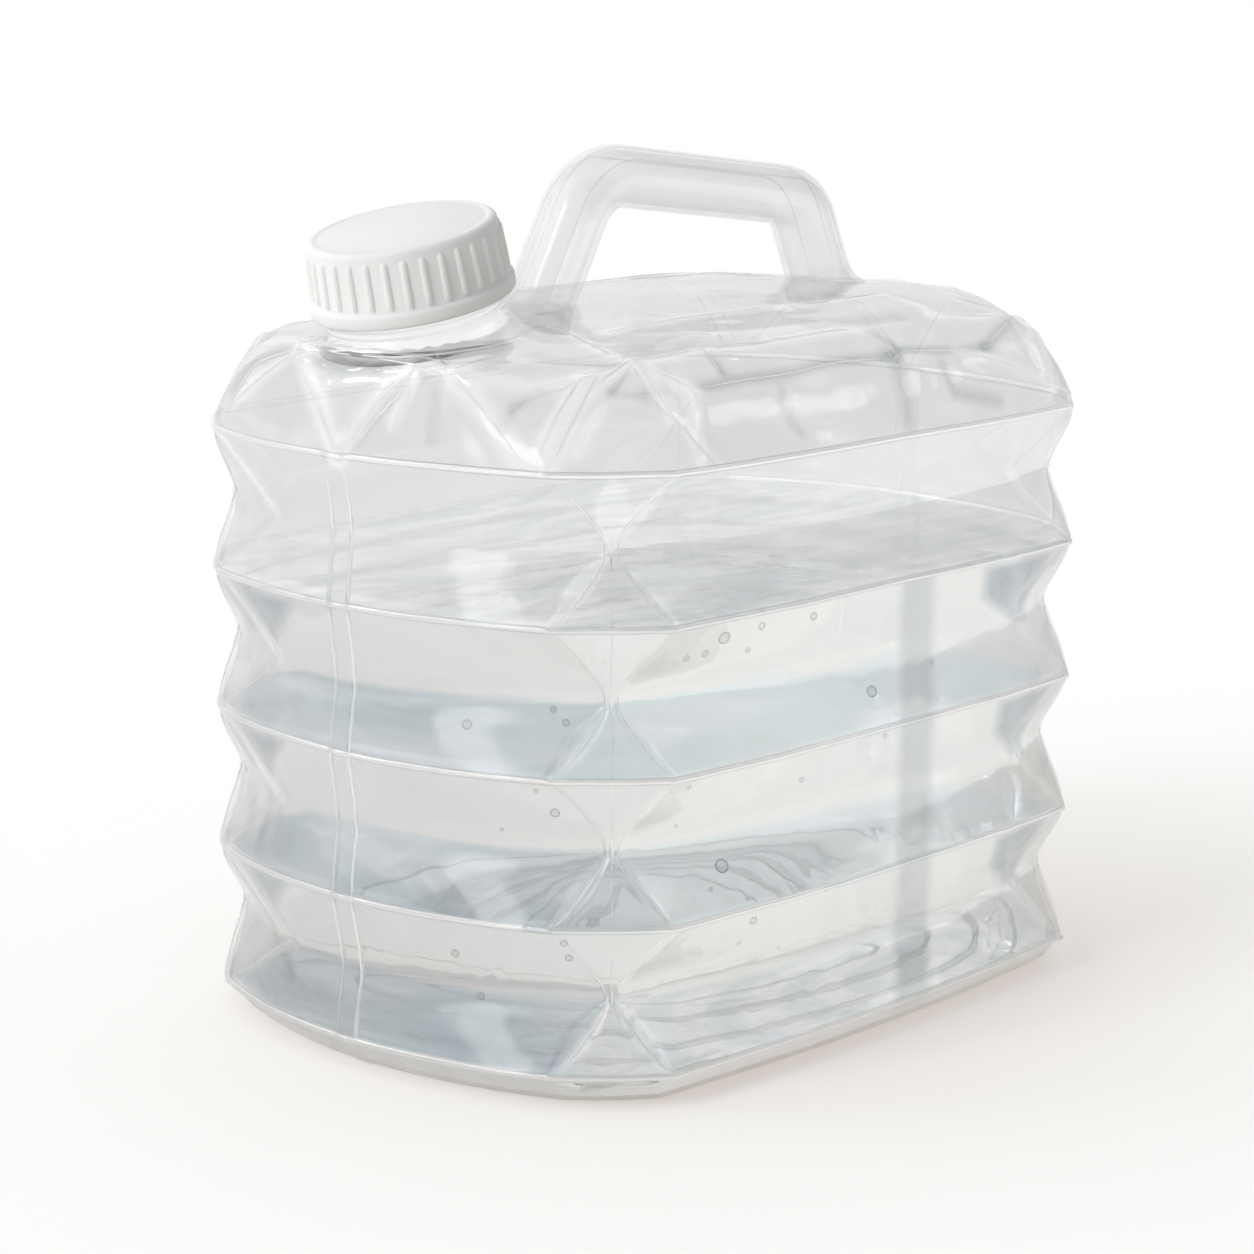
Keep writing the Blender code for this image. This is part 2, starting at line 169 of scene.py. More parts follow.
def mix(a, b, share):
    return a + (b - a) * share


# Creases of the shoulder in millimetres: points, width, height (below 0 sinks in), radius of the sharp line.
# These are on the end under the spout

end_creases = (
    (
        (
            (-133, 78, 206), (-137, 65, 213), (-137, 58, 224),
            (-136, 54, 229), (-138, 40, 233), (-141, 25, 236),
        ),
        5, -0.7, 0.35,
    ),
    (((-133, 78, 206), (-139, 57, 217), (-141, 37, 229), (-141, 26, 236)), 5, 0.9, 0.4),
    (((-142, 22, 234), (-147, 10, 222), (-150, -2, 206)), 7, 1.2, 0.3),
    (((-150, -3, 205), (-148, -11, 216), (-145, -19, 227), (-141, -29, 234)), 5, 0.9, 0.4),
    (((-150, -7, 206), (-148, -16, 218), (-141, -31, 233)), 4, -0.5, 0.3),
    (((-141, 26, 236), (-142, 3, 237), (-138, -10, 238)), 4, 0.5, 0.3),
    (((-142, -1, 237), (-141, -22, 236), (-137, -41, 234)), 4, 0.8, 0.35),
    (((-143, 21, 234), (-144, 2, 232), (-143, -13, 234)), 5, -0.8, 0),
    (((-143, -13, 234), (-138, -42, 233)), 3, -0.4, 0.25),
    (((-137, -41, 234), (-138, -56, 223), (-136, -69, 210)), 7, 1, 0.35),
    (((-137, -41, 234), (-130, -25, 239)), 4, -0.5, 0.25),
    (((-137, -41, 234), (-127, -43, 237), (-113, -47, 239)), 5, 0.6, 0.25),
    (((-141, -29, 233), (-147, -24, 217)), 4, 0.8, 0),
    (((-137, -44, 233), (-126, -64, 230), (-111, -75, 232)), 7, 0.8, 0),
    (((-136, -62, 220), (-132, -64, 226), (-125, -67, 229), (-117, -74, 230)), 4, -0.6, 0.2),
    (((-139, -38, 233), (-145, -39, 213)), 5, -0.4, 0),
)

# The same for the near side, its corners and the deck

side_creases = (
    (((-111, -77, 232), (-123, -79, 220), (-132, -78, 207)), 5, 1.1, 0.45),
    (((-113, -75, 232), (-125, -75, 223), (-134, -74, 207)), 4, 0.9, 0.4),
    (((-97, -80, 236), (-107, -79, 233), (-111, -78, 231)), 4, 0.8, 0.35),
    (((-98, -81, 236), (-109, -83, 230)), 3, -0.7, 0.25),
    (((-97, -80, 236), (-91, -89, 232), (-82, -94, 228)), 5, 0.9, 0.4),
    (((-97, -84, 234), (-100, -97, 224), (-94, -105, 211)), 6, 0.9, 0.3),
    (((-85, -95, 227), (-94, -105, 211)), 4, 0.9, 0),
    (((-115, -84, 224), (-125, -83, 211)), 3.5, 1, 0),
    (((-98, -82, 235), (-103, -93, 227), (-96, -103, 215)), 4, -0.5, 0.2),
    (((-121, -71, 229), (-108, -77, 233), (-98, -80, 236)), 5, 0.6, 0.25),
    (((-110, -83, 229), (-104, -90, 228), (-95, -93, 229)), 4, -0.4, 0.2),
    (((-96, -79, 236), (-78, -79, 236), (-61, -78, 237)), 6, 0.8, 0.35),
    (((-61, -78, 237), (-65, -90, 232)), 4, -0.9, 0.25),
    (((-61, -78, 237), (-34, -79, 237), (1, -80, 237), (17, -81, 237)), 6, 0.8, 0.35),
    (((17, -81, 237), (24, -91, 232)), 4, -0.6, 0.3),
    (((-81, -93, 228), (-60, -93, 229), (-36, -94, 229), (-14, -93, 231), (18, -94, 229)), 5, -0.8, 0.3),
    (((18, -94, 229), (24, -92, 231), (54, -94, 228), (69, -94, 228)), 4, -0.8, 0.3),
    (((69, -94, 228), (108, -77, 233)), 5, -0.8, 0.25),
    (((107, -79, 233), (95, -95, 226), (93, -103, 215)), 4, 0.9, 0.4),
    (((107, -80, 232), (99, -95, 226), (96, -103, 214)), 4, 0.6, 0.3),
    (((93, -103, 214), (104, -105, 209)), 3, 0.7, 0.35),
    (((52, -95, 228), (71, -99, 223), (93, -103, 214)), 5, 0.8, 0.35),
    (((107, -79, 233), (84, -82, 235), (59, -77, 237)), 5, 0.8, 0.3),
    (((40, -98, 225), (39, -104, 216), (62, -106, 211)), 6, -0.5, 0),
    (((-45, -98, 225), (-48, -104, 216), (-45, -106, 212)), 5, -0.4, 0),
    (((17, -93, 231), (14, -102, 221), (10, -107, 210)), 9, -0.5, 0),
    (((77, -96, 226), (99, -94, 228), (107, -80, 232)), 5, 0.6, 0),
    (((94, -104, 214), (90, -106, 207)), 2, 0.3, 0.2),
    (((-80, -51, 242), (-56, -51, 243), (-29, -49, 243), (9, -51, 243)), 5, 0.9, 0.3),
    (((9, -51, 243), (36, -52, 243), (66, -50, 242)), 5, 0.7, 0.3),
    (((-87, -20, 243), (-85, -38, 243), (-94, -59, 240), (-95, -77, 237)), 5, 0.7, 0.3),
    (((-81, -69, 240), (-58, -74, 239), (-33, -78, 237)), 6, -0.6, 0),
    (((67, -53, 242), (62, -70, 240), (62, -78, 237)), 5, 0.8, 0.3),
    (((141, 9, 238), (136, -27, 238), (119, -65, 233)), 5, 0.6, 0.25),
    (((-70, -59, 241), (-45, -71, 240), (-6, -73, 239)), 5, 0.5, 0),
    (((-113, -47, 239), (-110, -61, 237), (-96, -79, 236)), 5, -0.5, 0),
    (((0, -64, 241), (20, -74, 239), (45, -75, 238)), 6, -0.6, 0),
)


def turned(path):
    """The same path on the opposite side of the bottle."""
    return [Vector((-p.x, -p.y, p.z)) for p in path]


def shoulder_folds():
    """Creases of the shoulder and deck: path, width, height, line radius, painted light (highlight above 0,
    shade below 0), whether it is a leaf.
    """
    folds = []
    for points, width, height, line in end_creases + side_creases:
        path = [Vector(p) * 0.001 for p in points]
        for way in (path, turned(path)):
            # Raised creases get a painted highlight and sunken ones painted shade, in step with their height
            folds.append((way, width * 0.001, height * 0.001, line * 0.001, height * 0.8, False))
    return folds


def bellows_folds():
    """Creases of the bellows: a leaf up to the valley at each corner, folds across the near corners."""
    folds = []
    for k in range(4):
        low = base_ridge_height + pleat_pitch * k
        high, valley = low + pleat_pitch, low + pleat_pitch / 2
        for side in (1, -1):

            def spot(x, y, z):
                return Vector((x, side * y, z))

            node = spot(-0.1145, 0.0875, valley)
            end_corner, side_corner = spot(-0.133, 0.078, low), spot(-0.105, 0.106, low)
            # Each mark: start, end, width, height, line radius, painted highlight (above 0) or painted shade
            # (below 0), whether it is a leaf
            marks = [
                (end_corner, node, 0.0042, 0.0006, 0.0, 1.0, True),
                (side_corner, node, 0.0030 if k else 0.0044, 0.0004, 0.0, 0.12 if k else 0.9, True),
                (
                    spot(-0.150, 0.006, low + 0.0028), spot(-0.134, 0.076, low + 0.002),
                    0.0018, 0.0, 0.0, 0.9, False,
                ),
                (
                    spot(0.0, 0.113, low + 0.0024), spot(-0.104, 0.107, low + 0.0018),
                    0.0013, 0.0, 0.0, 0.5, False,
                ),
            ]
            if k == 3:
                marks += [
                    (spot(-0.105, 0.106, high), node, 0.0036, 0.0005, 0.0, 0.8, True),
                    (spot(-0.121, 0.094, high), node, 0.0075, 0.0003, 0.0, 0.6, True),
                ]
            if side > 0:
                end_apex, side_apex = spot(-0.141, 0.039, valley), spot(-0.0845, 0.096, valley)
                marks += [
                    (spot(-0.133, 0.078, high), end_apex, 0.0045, -0.0007, 0.00028, 0.6, False),
                    (end_corner, end_apex, 0.004, -0.0005, 0.0002, -0.25, False),
                    (side_apex, side_corner, 0.004, 0.0007, 0.0003, 0.7, False),
                    (side_apex, spot(-0.105, 0.106, high), 0.004, -0.0005, 0.0002, -0.2, False),
                    (spot(-0.066, 0.110, high), side_apex, 0.006, 0.0004, 0.0, 0.25, False),
                ]
            for start, end, *rest in marks:
                path = [start, end]
                folds += [(path, *rest), (turned(path), *rest)]
    return folds


# Small cubes of space that sort the creases, so that each point looks only at the ones near it

cell_size = 0.02
cell_margin = 0.008


def sort_folds(folds):
    """For each small cube of space, the creases that pass near it."""
    cells = {}
    for number, (path, width, *_) in enumerate(folds):
        reach = width + cell_margin
        for a, b in zip(path, path[1:]):
            low = [math.floor((min(u, v) - reach) / cell_size) for u, v in zip(a, b)]
            high = [math.floor((max(u, v) + reach) / cell_size) for u, v in zip(a, b)]
            for x in range(low[0], high[0] + 1):
                for y in range(low[1], high[1] + 1):
                    for z in range(low[2], high[2] + 1):
                        cells.setdefault((x, y, z), {}).setdefault(number, []).append((a, b))
    return cells


# Flat box in the middle of the bottle, which the film's creases and wobble point away from

core_half_length = 0.095
core_half_width = 0.068

all_folds = shoulder_folds() + bellows_folds()
fold_cells = sort_folds(all_folds)


def outward(point):
    """Away from the middle of the bottle, which is a flat box under the top ridge."""
    core_x = max(-core_half_length, min(core_half_length, point.x))
    core_y = max(-core_half_width, min(core_half_width, point.y))
    return (point - Vector((core_x, core_y, min(point.z, top_ridge_height)))).normalized()


def crease_at(point):
    """How far the creases lift the film here, and the painted highlight (above 0) or painted shade (below 0)
    that they give it.
    """
    near = fold_cells.get(tuple(math.floor(c / cell_size) for c in point), {})
    lift = shade = 0.0
    out = outward(point)
    for number, runs in near.items():
        _, width, height, _, painted_light_shade, leaf = all_folds[number]
        nearest, place = 1.0, 0.5
        for a, b in runs:
            along = b - a
            share = max(0.0, min(1.0, (point - a).dot(along) / along.length_squared))
            gap = point - a - along * share
            gap -= out * gap.dot(out)
            if gap.length < nearest:
                nearest, place = gap.length, share
        if leaf:
            width *= max(0.12, math.sin(math.pi * place))
        if nearest < width:
            part = 1 - nearest / width
            if leaf:
                part = min(1.0, part * 2)
            lift += height * part
            shade += painted_light_shade * part ** 1.5
    return lift, max(-1.0, min(1.0, shade))


# The painted highlight or painted shade that the creases give the film
def painted_film_light(point):
    return crease_at(point)[1]


def settle(point):
    """Film is never quite even: creases and a soft wobble that every piece of the bottle shares."""
    slow = noise.noise_vector(point * slow_wobble_scale) * slow_wobble
    quick = noise.noise_vector(point * quick_wobble_scale) * quick_wobble
    return point + slow + quick + outward(point) * crease_at(point)[0]


# Mesh helpers


def new_piece(name, mesh, look, sharp_deg=None):
    data = bpy.data.meshes.new(name)
    mesh.to_mesh(data)
    mesh.free()
    data.materials.append(look)
    data.shade_smooth()
    if sharp_deg is not None:
        data.set_sharp_from_angle(angle=math.radians(sharp_deg))
    piece = bpy.data.objects.new(name, data)
    bpy.context.scene.collection.objects.link(piece)
    return piece


def add_wrapped_grid(mesh, rows):
    """A flat grid wrapped into shape, a row of its points for each row given. Points that meet become one."""
    before = set(mesh.verts)
    made = bmesh.ops.create_grid(mesh, x_segments=len(rows[0]) - 1, y_segments=len(rows) - 1, size=1)
    for vertex, point in zip(made["verts"], (point for row in rows for point in row)):
        vertex.co = point
    fresh = [vertex for vertex in mesh.verts if vertex not in before]
    bmesh.ops.remove_doubles(mesh, verts=fresh, dist=weld_distance)


def point_out(mesh):
    bmesh.ops.recalc_face_normals(mesh, faces=mesh.faces[:])


def tube_rows(path, radius, sides, closed, flat=1.0):
    """Rows of points round a path, for a bead or a crease line. flat below 1 makes it lower than wide."""
    rows = []
    count = len(path)
    for k, point in enumerate(path):
        if closed:
            before, after = path[k - 1], path[(k + 1) % count]
        else:
            before, after = path[max(k - 1, 0)], path[min(k + 1, count - 1)]
        along = (after - before).normalized()
        across = along.cross(Vector((0, 0, 1)))
        if across.length < 0.05:
            across = along.cross(Vector((0, 1, 0)))
        across.normalize()
        up = across.cross(along)
        end = 1.0 if closed else min(1.0, 0.15 + 6.0 * min(k, count - 1 - k) / count)
        row = []
        for s in range(sides + 1):
            turn = 2 * math.pi * s / sides
            row.append(point + (across * math.cos(turn) * flat + up * math.sin(turn)) * radius * end)
        rows.append(row)
    if closed:
        rows.append(rows[0])
    return rows


def add_tube(mesh, path, radius, sides=8, closed=False, flat=1.0):
    before = set(mesh.faces)
    add_wrapped_grid(mesh, tube_rows(path, radius, sides, closed, flat))
    if not closed:
        fresh = [face for face in mesh.faces if face not in before]
        rims = {edge for face in fresh for edge in face.edges if edge.is_boundary}
        bmesh.ops.holes_fill(mesh, edges=list(rims), sides=sides)


def add_ring(mesh, row, radius):
    """A closed tube along a row of the bottle, whose last point repeats the first."""
    path = row[:-1]
    add_tube(mesh, [p for n, p in enumerate(path) if (p - path[n - 1]).length > 0.0002], radius, closed=True)


def store_painted_light(piece, shade_at):
    """Keeps for every point of a piece the painted highlight (above 0) or painted shade (below 0) that
    shade_at gives it.
    """
    marks = piece.data.attributes.new("crease", "FLOAT", "POINT")
    marks.data.foreach_set("value", [shade_at(vertex.co) for vertex in piece.data.vertices])


def add_fold_lines(mesh, folds, skin):
    """A fine solid line along every sharp crease, laid on the film."""
    tree = BVHTree.FromPolygons([v.co for v in skin.data.vertices], [p.vertices for p in skin.data.polygons])
    for path, _, _, line, _, _ in folds:
        if line == 0:
            continue
        spots = []
        for a, b in zip(path, path[1:]):
            steps = max(2, int((b - a).length / crease_run))
            spots += [tree.find_nearest(a.lerp(b, k / steps))[0] for k in range(steps)]
        spots.append(tree.find_nearest(path[-1])[0])
        for _ in range(3):
            inner = [(a + b * 2 + c) / 4 for a, b, c in zip(spots, spots[1:], spots[2:])]
            spots = spots[:1] + inner + spots[-1:]
        add_tube(mesh, spots, line, sides=6)


# Shape of the bellows


def face_stations(reach, columns):
    """Places along an end face from -reach to reach, with the moulding band's edges in the middle."""
    edge = band_half_width + band_edge
    outer = [edge + (reach - edge) * k / columns for k in range(1, columns + 1)]
    return [-s for s in reversed(outer)] + [-edge, -band_half_width, band_half_width, edge] + outer


def bottle_plan(half_length, half_width, cut, end_bow, side_bow, leaf):
    """Closed plan from mid -X end by way of -Y and +X. Leaf widens the facet at each corner crease."""
    points = []
    end_reach = half_width - cut
    side_reach = half_length - cut
    stations = face_stations(end_reach, end_columns)
    half = len(stations) // 2

    def end_x(s):
        rise = band_rise if abs(s) < band_half_width + 0.0001 else 0
        return half_length + end_bow * (1 - (s / end_reach) ** 2) + rise

    corner_a = Vector((-half_length, -end_reach))
    corner_b = Vector((-side_reach, -half_width))
    across = corner_b - corner_a
    out = Vector((-1, -1)).normalized()
    pull = min(leaf / max(across.length, 0.0001), 0.4)
    corner = []
    for k in range(corner_columns + 1):
        share = mix(pull, 1 - pull, k / corner_columns)
        bulge = corner_bulge * 4 * share * (1 - share) * min(1, across.length / 0.03)
        corner.append(corner_a + across * share + out * (bulge + leaf * 0.12))
    points += [Vector((-end_x(s), -s)) for s in stations[half:]] + corner
    for k in range(side_columns + 1):
        s = side_reach * (2 * k / side_columns - 1)
        points.append(Vector((s, -half_width - side_bow * (1 - (s / side_reach) ** 2))))
    points += [Vector((-spot.x, spot.y)) for spot in reversed(corner)]
    for s in reversed(stations[half:]):
        points.append(Vector((end_x(s), -s)))
    return points + [Vector((-p.x, -p.y)) for p in points] + points[:1]


def ridge_plan(k, grow):
    """Sizes of the plan at a ridge, drawn outwards all round by grow."""
    cut = ridge_corner_cut + grow * 0.6
    return ridge_half_length + grow, ridge_half_width + grow, cut, end_bows[k], side_bows[k]


def bellows_levels(grow):
    """Plans at every ridge and valley from the base ridge up, with their heights."""
    levels = []
    for k in range(5):
        levels.append((base_ridge_height + pleat_pitch * k, ridge_plan(k, grow)))
        if k < 4:
            plan = (
                ridge_half_length - valley_inset + grow,
                ridge_half_width - valley_inset + grow,
                valley_corner_cut,
                mix(end_bows[k], end_bows[k + 1], 0.5) + valley_inset - end_depths[k],
                mix(side_bows[k], side_bows[k + 1], 0.5) + valley_inset - side_depths[k],
            )
            levels.append((base_ridge_height + pleat_pitch * (k + 0.5), plan))
    return levels


def fold_share(step):
    """How far towards the valley the film is, where step runs from 0 at the ridge to 1 at the valley."""
    soft = step - max(0.0, step - straight_until) ** 2 / valley_rounding
    return soft / valley_share - film_sag * math.sin(math.pi * step)


def bellows_row(grow, place):
    """A row round the bellows. place counts ridges and valleys, from 0 at the base ridge to 8 at the top."""
    levels = bellows_levels(grow)
    low = min(int(place), 7)
    part = place - low
    ridge, valley = (low, low + 1) if low % 2 == 0 else (low + 1, low)
    step = part if low % 2 == 0 else 1 - part
    height = mix(levels[ridge][0], levels[valley][0], step)
    share = fold_share(step)
    a, b = levels[ridge][1], levels[valley][1]
    leaf = 0.0036 * math.sin(math.pi * min(max(share, 0), 1)) ** 0.8
    first = bottle_plan(*a, leaf)
    second = bottle_plan(*b, min(leaf, 0.0012))
    row = []
    for p, q in zip(first, second):
        spot = p.lerp(q, share)
        row.append(settle(Vector((spot.x, spot.y, height))))
    return row


def steps_between(low, high, per_level):
    count = int(round((high - low) * per_level))
    return [low + (high - low) * k / count for k in range(count + 1)]


# The foot, as how far it draws in and its height, and the underside, as a share of the way out and its height

foot_profile = (
    (0.0, 0.011), (-0.0013, 0.0078), (-0.0034, 0.0046), (-0.0060, 0.0018), (-0.0090, 0.0004), (-0.0125, 0.0),
)
underside = (
    (0.93, 0.0007), (0.84, 0.0018), (0.74, 0.0016), (0.6, 0.0022), (0.4, 0.0032), (0.2, 0.0038), (0.0, 0.004),
)


def base_rows(grow):
    """From the lowest ridge down over the rounded foot and in under the bottle to its middle."""
    rows = []
    lift = -grow
    for inset, height in foot_profile:
        plan = bottle_plan(*ridge_plan(0, grow + inset), 0)
        row = [settle(Vector((p.x, p.y, base_ridge_height))) for p in plan]
        for p in row:
            p.z = mix(height + lift, p.z, height / base_ridge_height)
        rows.append(row)
    for share, height in underside:
        rows.append([Vector((p.x * share, p.y * share, height + lift)) for p in rows[5]])
    return rows


# Looks


class Shading:
    """Wires up the nodes of one material. An input is given a value, or the output that feeds it."""

    def __init__(self, tree):
        self.nodes, self.links = tree.nodes, tree.links

    def feed(self, node, inputs):
        for name, value in inputs.items():
            if isinstance(value, bpy.types.NodeSocket):
                self.links.new(value, node.inputs[name])
            else:
                node.inputs[name].default_value = value

    def add(self, kind, inputs, **settings):
        node = self.nodes.new("ShaderNode" + kind)
        for name, value in settings.items():
            setattr(node, name, value)
        self.feed(node, inputs)
        return node

    def show(self, surface):
        self.feed(self.nodes["Material Output"], {"Surface": surface})

    def math(self, operation, *values):
        return self.add("Math", dict(enumerate(values)), operation=operation).outputs["Value"]

    def largest(self, first, *others):
        for other in others:
            first = self.math("MAXIMUM", first, other)
        return first

    def ramp(self, source, low, high, to_low=0.0, to_high=1.0, kind="LINEAR"):
        ends = {"From Min": low, "From Max": high, "To Min": to_low, "To Max": to_high, "Value": source}
        return self.add("MapRange", ends, interpolation_type=kind).outputs["Result"]

    def place(self, scale=(1, 1, 1), shift=(0, 0, 0)):
        """Object coordinates, stretched and moved."""
        where = self.add("TexCoord", {}).outputs["Object"]
        return self.add("Mapping", {"Scale": scale, "Location": shift, "Vector": where}).outputs["Vector"]

    def cloud(self, scale, detail, stretch=(1, 1, 1), distortion=0.0):
        inputs = {"Scale": scale, "Detail": detail, "Distortion": distortion, "Vector": self.place(stretch)}
        return self.add("TexNoise", inputs).outputs["Fac"]

    def axis(self, vector, name):
        return self.add("SeparateXYZ", {"Vector": vector}).outputs[name]

    def along(self, vector, direction):
        """How far a vector reaches in a direction."""
        return self.add("VectorMath", {0: vector, 1: direction}, operation="DOT_PRODUCT").outputs["Value"]

    def surface(self, name):
        """What the surface itself knows, such as its Normal and whether it is Backfacing."""
        return self.add("NewGeometry", {}).outputs[name]

    def mark(self, name):
        """A value kept with the points of the piece."""
        return self.add("Attribute", {}, attribute_name=name).outputs["Fac"]

    def rays(self, *kinds):
        """1 for light paths of these kinds, else 0."""
        path = self.add("LightPath", {})
        return self.largest(*(path.outputs["Is %s Ray" % kind] for kind in kinds))

    def rim(self, steep, head_on=0.0, at_edge=1.0, normal=None):
        """A share that is head_on where the surface faces the eye and at_edge where it turns away."""
        facing = self.add("LayerWeight", {"Blend": 0.5, **({"Normal": normal} if normal else {})})
        return self.ramp(self.math("POWER", facing.outputs["Facing"], steep), 0, 1, head_on, at_edge)

    def tones(self, share, first, second):
        """A colour on the way from the first to the second."""
        ends = [(*tone, 1) if isinstance(tone, tuple) else tone for tone in (first, second)]
        inputs = {"Factor": share, "A": ends[0], "B": ends[1]}
        return self.add("Mix", inputs, data_type="RGBA").outputs["Result"]

    def bump(self, height, strength, distance):
        inputs = {"Height": height, "Strength": strength, "Distance": distance}
        return self.add("Bump", inputs).outputs["Normal"]

    def skin(self, kind, tone, **inputs):
        """A plain shader: Transparent, Translucent, Refraction or, for a mirror, Anisotropic."""
        return self.add("Bsdf" + kind, {"Color": tone, **inputs}).outputs["BSDF"]

    def mirror(self, roughness, **inputs):
        return self.skin("Anisotropic", (1, 1, 1, 1), Roughness=roughness, **inputs)

    def blend(self, share, first, second):
        return self.add("MixShader", {"Fac": share, 1: first, 2: second}).outputs["Shader"]


def start_material(name):
    material = bpy.data.materials.new(name)
    material.use_nodes = True
    paint = Shading(material.node_tree)
    return material, paint, paint.nodes["Principled BSDF"]


def film_look():
    """Thin clear film: lets most light straight through and mirrors the room. Painted highlights whiten its
    creases, painted shade darkens some crease lines and its rims, and the side facing -Y is painted lighter.
    """
    material, paint, shader = start_material("clear_film")
    normal = paint.bump(paint.cloud(22.0, 1.5, distortion=0.6), 0.5, 0.004)
    paint.feed(shader, {"Base Color": (0.90, 0.90, 0.90, 1), "Roughness": 0.4, "Normal": normal})
    near = paint.ramp(paint.surface("Backfacing"), 0, 1, 1, 0.3)
    dry = paint.ramp(paint.rays("Transmission"), 0, 1, 1, 0)
    # crease carries the painted highlight (above 0) and painted shade (below 0) kept on the film's points
    crease = paint.math("MULTIPLY", paint.mark("crease"), paint.math("MULTIPLY", near, dry))
    # Painted shade: the film turns darker towards its rims
    edge = paint.math("MULTIPLY", paint.rim(3.6), near)
    tone = paint.tones(edge, (0.860, 0.860, 0.860), (0.46, 0.48, 0.495))
    # Painted light: film facing -Y is painted lighter than the rest
    painted_lighter_side = paint.ramp(paint.axis(paint.surface("Normal"), "Y"), -0.4, -0.95, 0, 0.9)
    tone = paint.tones(painted_lighter_side, tone, (0.94, 0.94, 0.935))
    # Painted highlight whitens the creases; painted shade darkens the dark crease lines
    tone = paint.tones(paint.ramp(crease, 0.04, 0.5), tone, (1.0, 1.0, 1.0))
    tone = paint.tones(paint.ramp(crease, -0.05, -0.7), tone, (0.52, 0.545, 0.56))
    unseen = paint.rays("Shadow", "Diffuse")
    clear = paint.skin("Transparent", paint.tones(unseen, tone, (0.94, 0.925, 0.91)))
    white = paint.blend(0.5, shader.outputs["BSDF"], paint.skin("Translucent", (0.95, 0.95, 0.95, 1)))
    # The haze is partly random and partly a painted highlight along the palest creases
    haze_and_crease_highlight = paint.largest(
        paint.ramp(paint.cloud(9.0, 3.0), 0.3, 0.7, 0.02, 0.06),
        paint.ramp(crease, 0.3, 1.0, 0, 0.16),
    )
    hazy = paint.blend(haze_and_crease_highlight, clear, white)
    seen = paint.ramp(unseen, 0, 1, 1, 0)
    gloss = paint.math("MULTIPLY", paint.rim(3.5, 0.10, 0.85, normal), seen)
    paint.show(paint.blend(gloss, hazy, paint.mirror(0.11, Normal=normal)))
    return material


def clear_solid_look(name, head_on, at_edge, index, shine, steep):
    """Thick clear plastic: bends what is behind it, mirrors the room, and painted shade darkens it towards
    its rims.
    """
    material, paint, shader = start_material(name)
    paint.nodes.remove(shader)
    edge = paint.rim(steep)
    frost = paint.ramp(paint.cloud(60.0, 2.0), 0.2, 0.8, 0.03, 0.14)
    bent = paint.skin("Refraction", paint.tones(edge, head_on, at_edge), IOR=index, Roughness=frost)
    clear = paint.skin("Transparent", paint.tones(edge, (1, 1, 1), at_edge))
    straight = paint.largest(paint.surface("Backfacing"), paint.rays("Shadow", "Diffuse"))
    body = paint.blend(straight, bent, clear)
    shiny = paint.blend(paint.rim(3.0, shine, 0.9), body, paint.mirror(0.22))
    through_water = paint.skin("Transparent", (1, 1, 1, 1))
    paint.show(paint.blend(paint.rays("Transmission"), shiny, through_water))
    return material


